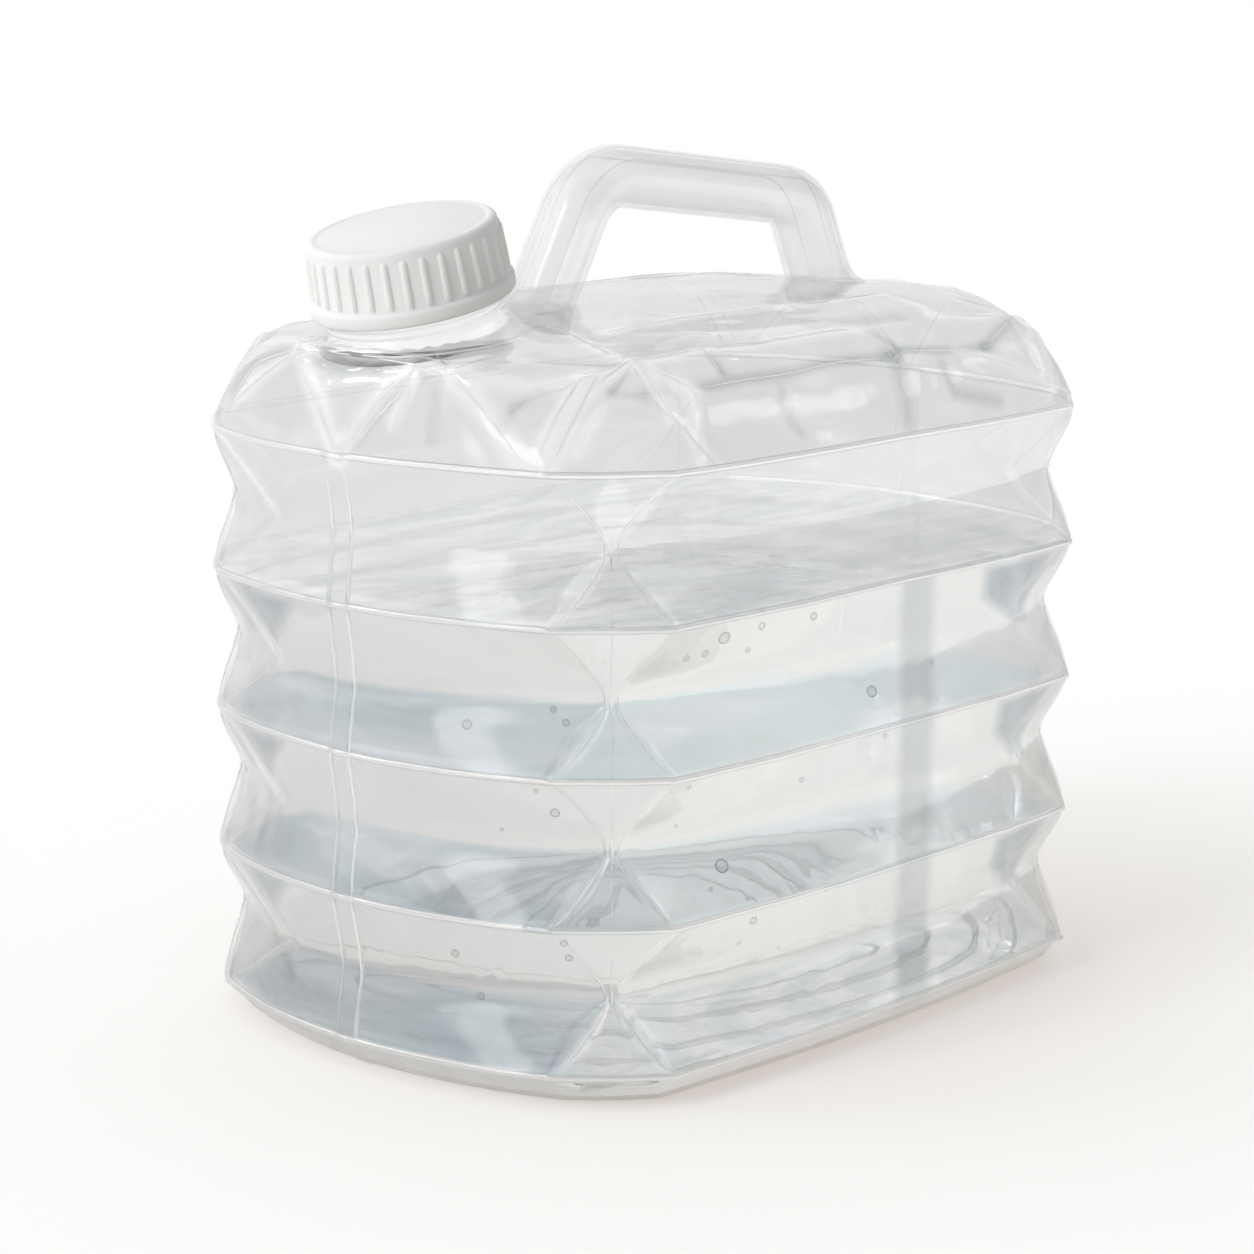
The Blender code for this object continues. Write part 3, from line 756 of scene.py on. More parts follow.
def water_look():
    """Water behind the film, its colour mostly painted light: painted blue-grey shade where the panels face
    up and painted light elsewhere, painted bright ovals near the base, painted reflection streaks on its top,
    painted dark facets and a painted dark bar.
    """
    material, paint, shader = start_material("still_water")
    paint.nodes.remove(shader)
    normal = paint.surface("Normal")
    toward_side = paint.axis(normal, "Y")
    upright = paint.axis(normal, "Z")
    place = paint.place()
    height = paint.axis(place, "Z")

    cloud = paint.cloud(15.0, 3.0, stretch=(0.6, 0.6, 2.6), distortion=1.0)
    # Share of the painted shade band, from the stored band value with a little random wobble
    painted_band_share = paint.math("ADD", paint.mark("painted_water_band"), paint.ramp(cloud, 0.3, 0.7, -0.05, 0.05))
    # Painted shade band tone: blue-grey, painted lighter where the water faces -Y
    painted_band_shade = paint.tones(paint.ramp(cloud, 0.38, 0.66), (0.50, 0.58, 0.63), (0.72, 0.775, 0.82))
    painted_band_shade = paint.tones(paint.ramp(toward_side, -0.3, -0.9, 0, 0.75), painted_band_shade, (0.92, 0.985, 1.0))

    # Painted light: bright rings on the water near the base, on the side facing -Y
    squeezed = paint.place(scale=(9.0, 0.0, 50.0), shift=(-0.18, 0.0, -1.05))
    rings = paint.add(
        "TexWave",
        {"Scale": 1.1, "Distortion": 2.5, "Detail": 1.5, "Vector": squeezed},
        wave_type="RINGS",
        rings_direction="SPHERICAL",
    )
    painted_bright_ovals = paint.tones(paint.ramp(rings.outputs["Fac"], 0.2, 0.8), (0.88, 0.93, 0.95), (1.0, 1.0, 1.0))
    near_base = paint.ramp(height, 0.030, 0.040, 1, 0)
    facing = paint.ramp(toward_side, -0.3, -0.8, 0, 0.9)
    painted_band_shade = paint.tones(paint.math("MULTIPLY", near_base, facing), painted_band_shade, painted_bright_ovals)

    # Painted light band tone, painted lighter where the water faces -Y
    light = paint.tones(paint.ramp(toward_side, -0.3, -0.9), (0.83, 0.83, 0.825), (0.925, 0.925, 0.92))
    painted_bands = paint.tones(paint.ramp(painted_band_share, -0.02, 0.04, kind="SMOOTHSTEP"), light, painted_band_shade)
    # Painted reflection: light and dark streaks on the water's top
    painted_reflection_streaks = paint.cloud(17.0, 3.0, stretch=(0.7, 1.6, 1), distortion=2.2)
    surface = paint.tones(paint.ramp(painted_reflection_streaks, 0.35, 0.65), (0.78, 0.84, 0.88), (1, 1, 1))
    tone = paint.tones(paint.ramp(upright, 0.80, 0.95), painted_bands, surface)
    # On the water the crease value holds painted shade: the dark facets beside the far corners
    tone = paint.tones(paint.ramp(paint.mark("crease"), 0, -0.08), tone, (0.42, 0.49, 0.54))

    # Painted shade: a soft dark bar down the water's side
    across = paint.along(place, (math.cos(camera_turn), -math.sin(camera_turn), 0))
    from_bar = paint.math("ABSOLUTE", paint.math("SUBTRACT", across, painted_dark_bar_place))
    bar = paint.ramp(from_bar, 0.003, 0.009, 0.80, 0.0, kind="SMOOTHSTEP")
    bar = paint.math("MULTIPLY", bar, paint.ramp(toward_side, -0.4, -0.9))
    tone = paint.tones(bar, tone, (0.60, 0.64, 0.66))

    waves = paint.bump(paint.cloud(30.0, 2.0, distortion=0.8), 0.3, 0.004)
    bent = paint.skin("Refraction", tone, IOR=1.33, Roughness=0.03, Normal=waves)
    unseen = paint.rays("Shadow", "Diffuse")
    clear = paint.skin("Transparent", paint.tones(unseen, (0.985, 0.985, 0.985), (0.80, 0.75, 0.71)))
    behind = paint.surface("Backfacing")
    body = paint.blend(paint.largest(behind, unseen), bent, clear)
    level = paint.ramp(paint.math("ABSOLUTE", upright), 0.80, 0.95, 0, 0.85)
    inner = paint.math("MULTIPLY", level, behind)
    gloss = paint.largest(paint.rim(3.5, 0.02, 0.8, waves), inner)
    gloss = paint.math("MULTIPLY", gloss, paint.ramp(unseen, 0, 1, 1, 0))
    paint.show(paint.blend(gloss, body, paint.mirror(0.05, Normal=waves)))
    return material


def bubble_look():
    """Air bubble: clear in the middle, with painted shade for its dark, sharp rim."""
    material, paint, shader = start_material("air_bubble")
    paint.nodes.remove(shader)
    clear = paint.skin("Transparent", paint.tones(paint.rim(2.2), (0.97, 0.97, 0.97), (0.12, 0.14, 0.15)))
    glint = paint.ramp(paint.cloud(300.0, 1.0), 0.2, 0.8, 0.12, 0.2)
    paint.show(paint.blend(glint, clear, paint.mirror(0.1)))
    return material


def milky_look():
    """Milky bar: light soaks through it, its thick edges look whiter, and its skin is glossy."""
    material, paint, shader = start_material("milky_clear_bar")
    cloud = paint.cloud(26.0, 2.0, stretch=(0.4, 1.6, 1.0), distortion=0.4)
    tone = paint.tones(paint.ramp(cloud, 0.3, 0.7), (0.94, 0.942, 0.95), (0.985, 0.985, 0.99))
    normal = paint.bump(paint.cloud(24.0, 1.0), 0.12, 0.002)
    paint.feed(shader, {"Base Color": tone, "Roughness": 0.3, "Normal": normal})
    milk = paint.blend(0.5, shader.outputs["BSDF"], paint.skin("Translucent", tone))
    edge = paint.rim(1.6)
    clear = paint.skin("Transparent", paint.tones(edge, (0.985, 0.986, 0.992), (0.95, 0.955, 0.965)))
    body = paint.blend(paint.ramp(edge, 0, 1, 0.07, 0.24), clear, milk)
    paint.show(paint.blend(paint.rim(4.0, 0.05, 0.7), body, paint.mirror(0.16, Normal=normal)))
    return material


def cap_look():
    material, paint, shader = start_material("satin_white_cap")
    cloud = paint.cloud(45.0, 3.0)
    tone = paint.tones(paint.ramp(cloud, 0.3, 0.7), (0.82, 0.813, 0.803), (0.865, 0.859, 0.85))
    grain = paint.bump(paint.cloud(900.0, 2.0), 0.12, 0.0004)
    roughness = paint.ramp(cloud, 0.2, 0.8, 0.38, 0.5)
    paint.feed(shader, {"Base Color": tone, "Roughness": roughness, "Normal": grain})
    return material


def liner_look():
    material, paint, shader = start_material("soft_liner")
    tone = paint.tones(paint.ramp(paint.cloud(120.0, 3.0), 0.3, 0.7), (0.70, 0.70, 0.67), (0.80, 0.80, 0.77))
    grain = paint.bump(paint.cloud(1500.0, 2.0), 0.2, 0.0003)
    paint.feed(shader, {"Base Color": tone, "Roughness": 0.6, "Normal": grain})
    return material


# Bellows film, the beads on its folds and its corner creases


def build_bellows_film(look):
    mesh = bmesh.new()
    rows = [bellows_row(0, place) for place in steps_between(0, top_place, film_rows)]
    add_wrapped_grid(mesh, rows)
    point_out(mesh)
    film = new_piece("bellows_film", mesh, look, 24)
    store_painted_light(film, painted_film_light)
    return film


def build_base_film(look):
    mesh = bmesh.new()
    add_wrapped_grid(mesh, base_rows(0))
    point_out(mesh)
    return new_piece("base_film", mesh, look, 24)


def build_fold_beads(look):
    """Thin solid bead where the film folds, all round each ridge."""
    mesh = bmesh.new()
    for k in range(5):
        add_ring(mesh, bellows_row(-fold_bead_sink, k * 2), fold_bead)
    point_out(mesh)
    return new_piece("fold_beads", mesh, look)


def build_base_rings(look):
    """Low round ribs that stiffen the bottom of the bottle."""
    mesh = bmesh.new()
    foot = base_rows(0)[5]
    for share, radius in ((0.90, 0.0011), (0.76, 0.0014), (0.60, 0.0014), (0.44, 0.0012)):
        add_ring(mesh, [Vector((p.x * share, p.y * share, 0.0034)) for p in foot], radius)
    point_out(mesh)
    return new_piece("base_rings", mesh, look)


def corner_columns_of_film():
    """Columns of the two creases at each corner, and how many columns half a turn has."""
    half = len(face_stations(ridge_half_width, end_columns)) // 2
    second = half + corner_columns
    third = second + side_columns + 2
    fourth = third + corner_columns
    whole = fourth + 1 + half
    return [c + n * whole for n in (0, 1) for c in (half, second, third, fourth)], whole


def build_film_creases(look, skin):
    """Fine lines: corner creases, both edges of the moulding bands, the parting line and the sharp folds."""
    mesh = bmesh.new()
    columns, whole = corner_columns_of_film()
    places = steps_between(0, top_place, crease_rows)
    places[-1] -= short_of_top_ridge
    rows = [bellows_row(0, place) for place in places]
    for column in columns:
        for level in range(top_place):
            run = rows[level * crease_rows:(level + 1) * crease_rows + 1]
            add_tube(mesh, [row[column] for row in run], corner_line, sides=6)
    for column in (1, whole - 2, whole + 1, 2 * whole - 2):
        add_tube(mesh, [row[column] for row in rows], band_line, sides=6)
    for column in (columns[0] + corner_columns // 2, columns[4] + corner_columns // 2):
        add_tube(mesh, [row[column] for row in rows], parting_line, sides=6)
    add_fold_lines(mesh, bellows_folds(), skin)
    point_out(mesh)
    return new_piece("film_creases", mesh, look)


# Shoulder and deck


def plateau_height(x, y):
    """Height of the deck's upper side."""
    along = min(abs(x) / deck_end, 1.0)
    across = min(abs(y) / deck_side, 1.0)
    share = max(along, across, (along ** 3 + across ** 3) ** (1 / 3) * 0.97)
    share = min(share, 1.0)
    return deck_rim_height + deck_crown * (1 - share ** 2)


def spread(a, b, count, whole=False):
    """Points from a to b, the last one left out unless whole."""
    steps = count if not whole else count - 1
    return [a.lerp(b, k / steps) for k in range(count)]


def quarter_lines():
    """Matching points on the straight top ridge and the plateau's edge, from mid -X end to mid -Y side."""
    a = Vector((-ridge_half_length, 0, top_ridge_height))
    p = Vector((-ridge_half_length, -ridge_end_reach, top_ridge_height))
    q = Vector((-ridge_side_reach, -ridge_half_width, top_ridge_height))
    m = Vector((0, -ridge_half_width, top_ridge_height))
    top_mid = Vector((-deck_end, 0, deck_rim_height))
    b = Vector((-0.1402, -0.025, 0.2378))
    e = Vector((-0.1355, -0.037, 0.2370))
    k = Vector((-0.0970, -0.0800, 0.2360))
    n = Vector((0, -0.0815, 0.2372))
    ridge, edge = [], []

    def lay(r0, r1, e0, e1, count):
        for i in range(count):
            share = i / count
            ridge.append(r0.lerp(r1, share))
            edge.append(e0.lerp(e1, share))

    lay(a, a, top_mid, b, 12)
    lay(a, p, b, e, 24)
    lay(p, p, e, k, 24)
    lay(p, q, k, k, 14)
    lay(q, m, k, n, 48)
    ridge.append(m)
    edge.append(n)
    return ridge, edge


def bow_ridge(point):
    """Bows a point of the straight ridge line out as the bellows' top ridge does."""
    if abs(point.x) > 0.1329 and abs(point.y) < ridge_end_reach:
        out = end_bows[4] * (1 - (point.y / ridge_end_reach) ** 2)
        return Vector((math.copysign(ridge_half_length + out, point.x), point.y, point.z))
    if abs(point.y) > 0.1059 and abs(point.x) < ridge_side_reach:
        out = side_bows[4] * (1 - (point.x / ridge_side_reach) ** 2)
        return Vector((point.x, math.copysign(ridge_half_width + out, point.y), point.z))
    return point


def shoulder_lines():
    ridge, edge = quarter_lines()
    whole_ridge, whole_edge = [], []
    for sx, sy, back in ((1, 1, False), (-1, 1, True), (-1, -1, False), (1, -1, True)):
        r = [Vector((p.x * sx, p.y * sy, p.z)) for p in ridge]
        e = [Vector((p.x * sx, p.y * sy, p.z)) for p in edge]
        if back:
            r.reverse()
            e.reverse()
        whole_ridge += r[:-1]
        whole_edge += e[:-1]
    return whole_ridge + whole_ridge[:1], whole_edge + whole_edge[:1]


def shoulder_point(ridge, edge, share):
    """A point of the shoulder between the top ridge and the plateau's edge: steep, then rounding over."""
    inward = mix(share, share ** 1.7, 0.75)
    upward = mix(share, math.sin(share * math.pi / 2), 0.55)
    flat = Vector((mix(ridge.x, edge.x, inward), mix(ridge.y, edge.y, inward), 0))
    return settle(Vector((flat.x, flat.y, mix(ridge.z, edge.z, upward))))


def shoulder_rows():
    ridge, edge = shoulder_lines()
    ridge = [bow_ridge(p) for p in ridge]
    rows = [[shoulder_point(r, e, k / 26) for r, e in zip(ridge, edge)] for k in range(27)]
    for share in [0.99, 0.975] + [0.96 - 0.03 * k for k in range(22)] + [0.24, 0.16, 0.08, 0.0]:
        row = []
        for e in edge:
            x, y = e.x * share, e.y * share
            lift = plateau_height(x, y)
            row.append(settle(Vector((x, y, mix(e.z, lift, min(1, (1 - share) / 0.12))))))
        rows.append(row)
    return rows


def build_top_film(look):
    mesh = bmesh.new()
    add_wrapped_grid(mesh, shoulder_rows())
    to_neck = neck_frame().inverted()

    def under_neck(face):
        middle = face.calc_center_median()
        return middle.z > deck_hole_from and (to_neck @ middle).xy.length < deck_hole_radius

    bmesh.ops.delete(mesh, geom=[face for face in mesh.faces if under_neck(face)], context="FACES")
    point_out(mesh)
    film = new_piece("top_film", mesh, look, 20)
    store_painted_light(film, painted_film_light)
    return film


def build_shoulder_creases(look, skin):
    mesh = bmesh.new()
    add_fold_lines(mesh, shoulder_folds(), skin)
    point_out(mesh)
    return new_piece("shoulder_creases", mesh, look)


# Neck, cap and handle


def neck_frame():
    return Matrix.Translation(neck_foot) @ Matrix.Rotation(neck_lean, 4, "Y")


def add_lathe(mesh, profile, steps, closed):
    """Turns a profile of (radius, height) about the vertical axis."""
    verts = [mesh.verts.new((r, 0, z)) for r, z in profile]
    edges = [mesh.edges.new((a, b)) for a, b in zip(verts, verts[1:])]
    if closed:
        edges.append(mesh.edges.new((verts[-1], verts[0])))
    turn = dict(cent=(0, 0, 0), axis=(0, 0, 1), dvec=(0, 0, 0), angle=2 * math.pi)
    bmesh.ops.spin(mesh, geom=verts + edges, steps=steps, use_merge=True, **turn)
    bmesh.ops.remove_doubles(mesh, verts=mesh.verts[:], dist=weld_distance / 4)


def add_thread(mesh, profile, height, steps_per_turn, turns):
    """Helical ridge about the vertical axis: a small section spun, and lifted by the pitch in each turn."""
    verts = [mesh.verts.new((r, 0, height + z)) for r, z in profile]
    face = mesh.faces.new(verts)
    rise = (0, 0, thread_pitch / steps_per_turn)
    climb = dict(cent=(0, 0, 0), axis=(0, 0, 1), dvec=rise, angle=2 * math.pi * turns)
    whole = [face] + verts + face.edges[:]
    bmesh.ops.spin(mesh, geom=whole, steps=int(steps_per_turn * turns), use_merge=False, **climb)


def build_neck(look):
    """Clear spout: flared foot on the deck, concave waist, round bead, threaded tube."""
    mesh = bmesh.new()
    outer = [(0.0372, -0.0052), (0.0352, -0.0030), (0.0330, -0.0004), (0.0312, 0.0014), (0.0296, 0.0030)]
    outer += [(0.0286, 0.0046), (0.0281, 0.0060)]
    bead = []
    for k in range(9):
        turn = math.pi * k / 8
        bead.append((0.0279 + 0.0026 * math.sin(turn), 0.0064 + 0.0031 * (1 - math.cos(turn)) / 2))
    tube = [(0.0278, 0.0102), (0.0278, 0.0310), (0.0274, 0.0318), (0.0266, 0.0320), (0.0254, 0.0320)]
    tube += [(0.0249, 0.0316), (0.0248, 0.0308)]
    inner = [(0.0248, 0.0080), (0.0250, 0.0040), (0.0262, 0.0012), (0.0285, -0.0018), (0.0320, -0.0050)]
    inner += [(0.0352, -0.0068)]
    add_lathe(mesh, outer + bead + tube + inner, 144, True)
    turn = neck_frame()
    for vertex in mesh.verts:
        height = vertex.co.z
        spot = turn @ vertex.co
        if height < neck_seat_from:
            skin = plateau_height(spot.x, spot.y) if abs(spot.x) < deck_end else deck_rim_height
            depth = (neck_seat_from - height) / neck_seat_depth
            seat = min(spot.z, skin + 0.0006) if depth < 0.7 else skin - 0.0004 - 0.0012 * (height < -0.006)
            spot.z = mix(spot.z, seat, min(1, depth * 1.3))
        vertex.co = spot
    point_out(mesh)
    return new_piece("neck_spout", mesh, look)


def build_neck_thread(look):
    mesh = bmesh.new()
    section = [(0.0276, -0.0013), (0.0288, -0.0006), (0.0290, 0.0), (0.0288, 0.0006), (0.0276, 0.0013)]
    add_thread(mesh, section, 0.0155, 72, 1.75)
    bmesh.ops.transform(mesh, matrix=neck_frame(), verts=mesh.verts[:])
    point_out(mesh)
    return new_piece("neck_thread", mesh, look)


def build_cap(look):
    """White screw cap: plain lower band, ribbed wall, rounded top edge, threaded inside."""
    mesh = bmesh.new()
    foot, top = 0.0113, 0.0358
    brim, wall, crown = 0.0336, 0.0319, 0.0311
    profile = [(0.0, top - 0.0001), (0.0268, top - 0.00005), (0.0276, top - 0.0003), (0.0284, top - 0.00005)]
    for k in range(7):
        turn = math.pi / 2 * k / 6
        profile.append((crown - 0.0022 + 0.0022 * math.sin(turn), top - 0.0022 + 0.0022 * math.cos(turn)))
    profile += [(wall, foot + 0.0052), (wall + 0.0003, foot + 0.0049), (brim - 0.0006, foot + 0.0046)]
    profile += [(brim - 0.0001, foot + 0.0042), (brim, foot + 0.0036), (brim, foot + 0.0008)]
    profile += [(brim - 0.0003, foot + 0.0002), (brim - 0.0008, foot), (0.0299, foot)]
    profile += [(0.0294, foot + 0.0005), (0.0294, top - 0.0028), (0.0288, top - 0.0021), (0.0, top - 0.0020)]
    add_lathe(mesh, profile, 192, False)
    for k in range(cap_ribs):
        add_rib(mesh, 2 * math.pi * k / cap_ribs, foot + 0.0050, top - 0.0026, wall, crown)
    section = [(0.0296, -0.0013), (0.0285, -0.0006), (0.0283, 0.0), (0.0285, 0.0006), (0.0296, 0.0013)]
    add_thread(mesh, section, 0.0185, 60, 1.25)
    bmesh.ops.transform(mesh, matrix=neck_frame(), verts=mesh.verts[:])
    point_out(mesh)
    return new_piece("cap_shell", mesh, look, 50)


def add_rib(mesh, turn, low, high, wall, crown):
    """One upright rib with rounded ends, standing out of the cap's wall."""
    rows = []
    for k in range(11):
        share = k / 10
        end = math.sqrt(max(0.0, 1 - (2 * share - 1) ** 10))
        height = mix(low, high, share)
        root = mix(wall, crown, max(0.0, (share - 0.05))) - 0.0004
        row = []
        for s in range(9):
            side = math.pi * s / 8
            out = rib_size * math.sin(side) * end
            across = rib_size * math.cos(side) * (0.55 + 0.45 * end)
            row.append(Vector((root + out, across, height)))
        rows.append(row)
    before = set(mesh.verts)
    add_wrapped_grid(mesh, rows)
    fresh = [v for v in mesh.verts if v not in before]
    bmesh.ops.transform(mesh, matrix=Matrix.Rotation(turn, 4, "Z"), verts=fresh)


def bend(before, corner, after, radius, steps):
    """Arc that rounds the corner between two straight runs."""
    back = (before - corner).normalized()
    forth = (after - corner).normalized()
    opening = back.angle(forth)
    centre = corner + (back + forth).normalized() * (radius / math.sin(opening / 2))
    run = radius / math.tan(opening / 2)
    start, end = corner + back * run - centre, corner + forth * run - centre
    return [centre + start.normalized().slerp(end.normalized(), k / steps) * radius for k in range(steps + 1)]


def handle_path():
    slope = math.tan(grip_slope)
    front = Vector((handle_front, 0, handle_foot_height))
    rear = Vector((handle_rear, 0, handle_foot_height))
    front_run, rear_run = math.tan(front_leg_lean), math.tan(rear_leg_lean)

    def corner(foot, run):
        grip = deck_rim_height + grip_rise + (grip_level_at - foot.x) * slope
        rise = (grip - foot.z) / (1 + run * slope)
        return foot + Vector((run * rise, 0, rise))

    a, b = corner(front, front_run), corner(rear, -rear_run)
    start = front - Vector((front_run, 0, 1)) * handle_sink
    end = rear + Vector((rear_run, 0, -1)) * handle_sink
    first = bend(start, a, b, front_bend, 16)
    last = bend(a, b, end, rear_bend, 14)
    path = spread(start, first[0], 9) + first
    path += spread(first[-1], last[0], 12)[1:] + last
    return path + spread(last[-1], end, 10, True)[1:]


def bar_section(shrink, flare):
    """Rounded section with a soft flat on its inner and outer sides: across, and outwards."""
    points = []
    for k in range(33):
        turn = 2 * math.pi * k / 32
        c, s = math.cos(turn), math.sin(turn)
        across = math.copysign(abs(c) ** 0.80, c) * (bar_half_width - shrink)
        out = math.copysign(abs(s) ** 0.86, s) * (bar_half_height - shrink)
        points.append((across * flare, out * flare))
    return points


def bar_rows(shrink):
    path = handle_path()
    rows = []
    count = len(path)
    for k, point in enumerate(path):
        along = (path[min(k + 1, count - 1)] - path[max(k - 1, 0)]).normalized()
        outwards = Vector((-along.z, 0, along.x))
        foot = min((point - path[0]).length, (point - path[-1]).length)
        flare = 1 + 0.34 * max(0.0, 1 - foot / 0.011) ** 2
        section = bar_section(shrink, flare)
        rows.append([point + outwards * out + Vector((0, across, 0)) for across, out in section])
    for row in (rows[0], rows[-1]):
        for p in row:
            p.z = plateau_height(p.x, p.y) + 0.0002
    return rows


def build_handle(look):
    mesh = bmesh.new()
    add_wrapped_grid(mesh, bar_rows(0))
    add_wrapped_grid(mesh, bar_rows(bar_wall))
    point_out(mesh)
    return new_piece("handle_bar", mesh, look)


def build_handle_seam(look):
    """Mould seam all along the outer side of the bar, and the soft line on its flanks."""
    mesh = bmesh.new()
    rows = bar_rows(bar_wall / 2)
    for column in (8, 13, 3):
        add_tube(mesh, [row[column] for row in rows[2:-2]], 0.00035, sides=6)
    point_out(mesh)
    return new_piece("handle_seam", mesh, look)


# Water and bubbles


def inside_outline(x, y, outline):
    """How far a point lies inside a rounded-off outline given anticlockwise; below 0 outside."""
    least = 1.0
    for (ax, ay), (bx, by) in zip(outline, outline[1:] + outline[:1]):
        length = math.hypot(bx - ax, by - ay)
        least = min(least, ((bx - ax) * (y - ay) - (by - ay) * (x - ax)) / length)
    return least


# A point is on an end face when it lies farther past the first of these than past the second

end_from = 0.116
side_from = 0.089


def place_on_face(point):
    """Which face a point of the bellows is on, how far along it, and how far up between two ridges."""
    up = (point.z - base_ridge_height) / pleat_pitch
    level = math.floor(up)
    if abs(point.x) - end_from > abs(point.y) - side_from:
        return "end", -math.copysign(1, point.x) * point.y, level, up - level
    return "side", -math.copysign(1, point.y) * point.x, level, up - level


def painted_water_band_at(point):
    """Above 0 where the water gets its painted blue-grey shade band: under the valley, and less and less
    towards the far corner.
    """
    face, along, level, up = place_on_face(point)
    start, reach = (0.022, 0.056) if face == "end" else (0.005, 0.100)
    sink = max(0.0, (along - start) / reach) ** 1.5
    if level > 2:
        return -1.0
    return 0.5 * (1 - min(1.0, sink)) - up


def painted_water_shade(point):
    """Painted shade: dark facets that the water shows beside the far corners, under each ridge."""
    face, along, level, up = place_on_face(point)
    if level < 0 or level > 2:
        return 0.0
    if face == "end":
        start, tip = (0.20, (0.44, 0.48)) if level == 2 else (0.28, (0.46, 0.62))
        outline = [(start, 0.98), tip, (0.66, 0.98)]
    else:
        start = 0.50 if level == 2 else 0.60
        outline = [(start, 0.98), (start + 0.04, 0.70), (0.84, 0.42), (0.97, 0.38)]
        outline += [(1.02, 0.58), (1.02, 0.98)]
    return -max(-1.0, inside_outline(along * 10, up, outline))


def build_water(look):
    mesh = bmesh.new()
    rows = base_rows(-water_gap)[::-1]
    rows += [bellows_row(-water_gap, place) for place in steps_between(0, water_top_place, water_rows)][1:]
    rim = rows[-1]
    for share in [0.985, 0.96, 0.92, 0.86, 0.8] + [0.08 * k for k in range(9, -1, -1)]:
        row = []
        for p in rim:
            x, y = p.x * share, p.y * share
            rise = 0.0010 * max(0.0, 1 - (1 - share) / 0.04)
            wave = 0.0004 * noise.noise(Vector((x * 26, y * 26, 3.0)))
            row.append(Vector((x, y, water_level + rise + wave * min(1, (1 - share) * 8))))
        rows.append(row)
    add_wrapped_grid(mesh, rows)
    point_out(mesh)
    water = new_piece("water", mesh, look, 24)
    # Painted shade: dark facets kept on the water's points
    store_painted_light(water, painted_water_shade)
    # Painted shade bands of the water: above 0 where they lie
    edges = water.data.attributes.new("painted_water_band", "FLOAT", "POINT")
    edges.data.foreach_set("value", [painted_water_band_at(vertex.co) for vertex in water.data.vertices])
    return water


bubble_gap = 0.0006
side_bubble_y = -0.0960
end_bubble_x = -0.1235

# Across and up the side, and across and up the end, then the radius

side_bubbles = (
    (-0.0693, 0.1462, 0.0022), (-0.0882, 0.1426, 0.0012), (-0.0791, 0.1428, 0.0013),
    (-0.0515, 0.1477, 0.0013), (-0.0255, 0.1471, 0.0014), (-0.0584, 0.1409, 0.0010),
    (0.0059, 0.1174, 0.0020), (-0.0696, 0.0725, 0.0024), (-0.0548, 0.0505, 0.0014),
    (-0.062, 0.0440, 0.0008), (-0.031, 0.0935, 0.0010), (0.012, 0.1010, 0.0009), (-0.0870, 0.1010, 0.0008),
    (-0.0930, 0.0890, 0.0007), (-0.0760, 0.0660, 0.0008), (0.0380, 0.1220, 0.0008),
)
end_bubbles = (
    (-0.0711, 0.0945, 0.0016), (-0.0327, 0.1186, 0.0017), (-0.0760, 0.1255, 0.0012),
    (-0.0705, 0.1288, 0.0011), (-0.0268, 0.0413, 0.0014), (-0.0377, 0.0291, 0.0013),
    (-0.0770, 0.0480, 0.0013), (-0.0747, 0.0528, 0.0012), (-0.0480, 0.0860, 0.0007),
    (-0.0630, 0.1010, 0.0008),
)


def camera_heading():
    level = math.cos(camera_tilt)
    return Vector((math.sin(camera_turn) * level, math.cos(camera_turn) * level, -math.sin(camera_tilt)))


def build_bubbles(look, water):
    """Air bubbles under the film, each moved along the camera's line of sight up to the water's skin."""
    mesh = bmesh.new()
    skin = water.data
    tree = BVHTree.FromPolygons([v.co for v in skin.vertices], [p.vertices for p in skin.polygons])
    heading = camera_heading()
    spots = [(Vector((x, side_bubble_y, z)), r) for x, z, r in side_bubbles]
    spots += [(Vector((end_bubble_x, y, z)), r) for y, z, r in end_bubbles]
    for spot, radius in spots:
        point, outward, _, _ = tree.ray_cast(spot - 0.2 * heading, heading)
        centre = point - outward * (radius + bubble_gap)
        bmesh.ops.create_icosphere(mesh, subdivisions=3, radius=radius, matrix=Matrix.Translation(centre))
    return new_piece("bubbles", mesh, look)


# Floor, light and camera


def build_floor():
    mesh = bmesh.new()
    bmesh.ops.create_grid(mesh, x_segments=8, y_segments=8, size=floor_reach)
    bmesh.ops.translate(mesh, vec=(0, 0, -floor_drop), verts=mesh.verts[:])
    material, paint, shader = start_material("pale_floor")
    seen = paint.ramp(paint.rays("Camera", "Glossy"), 0, 1, 0, floor_lift)
    through_water = paint.ramp(paint.rays("Transmission"), 0, 1, 0, floor_lift_through_water)
    inputs = {
        "Base Color": paint.tones(paint.cloud(3.0, 3.0), (0.865, 0.85, 0.825), (0.87, 0.855, 0.83)),
        "Roughness": 1.0,
        "Specular IOR Level": 0.0,
        "Emission Color": (0.97, 0.985, 1.0, 1),
        "Emission Strength": paint.largest(seen, through_water),
    }
    paint.feed(shader, inputs)
    floor = new_piece("floor", mesh, material)
    return floor


# Bright panels of the room: direction, where each starts and is full (as a cosine), strength

bright_panels = (
    ((-0.50, 0.62, 0.60), 0.84, 0.98, 0.9),
    ((-0.97, 0.06, 0.24), 0.975, 0.992, 1.4),
    ((0.74, 0.67, 0.12), 0.30, 0.90, 0.45),
    ((0.50, -0.45, 0.74), 0.955, 0.985, 0.6),
)


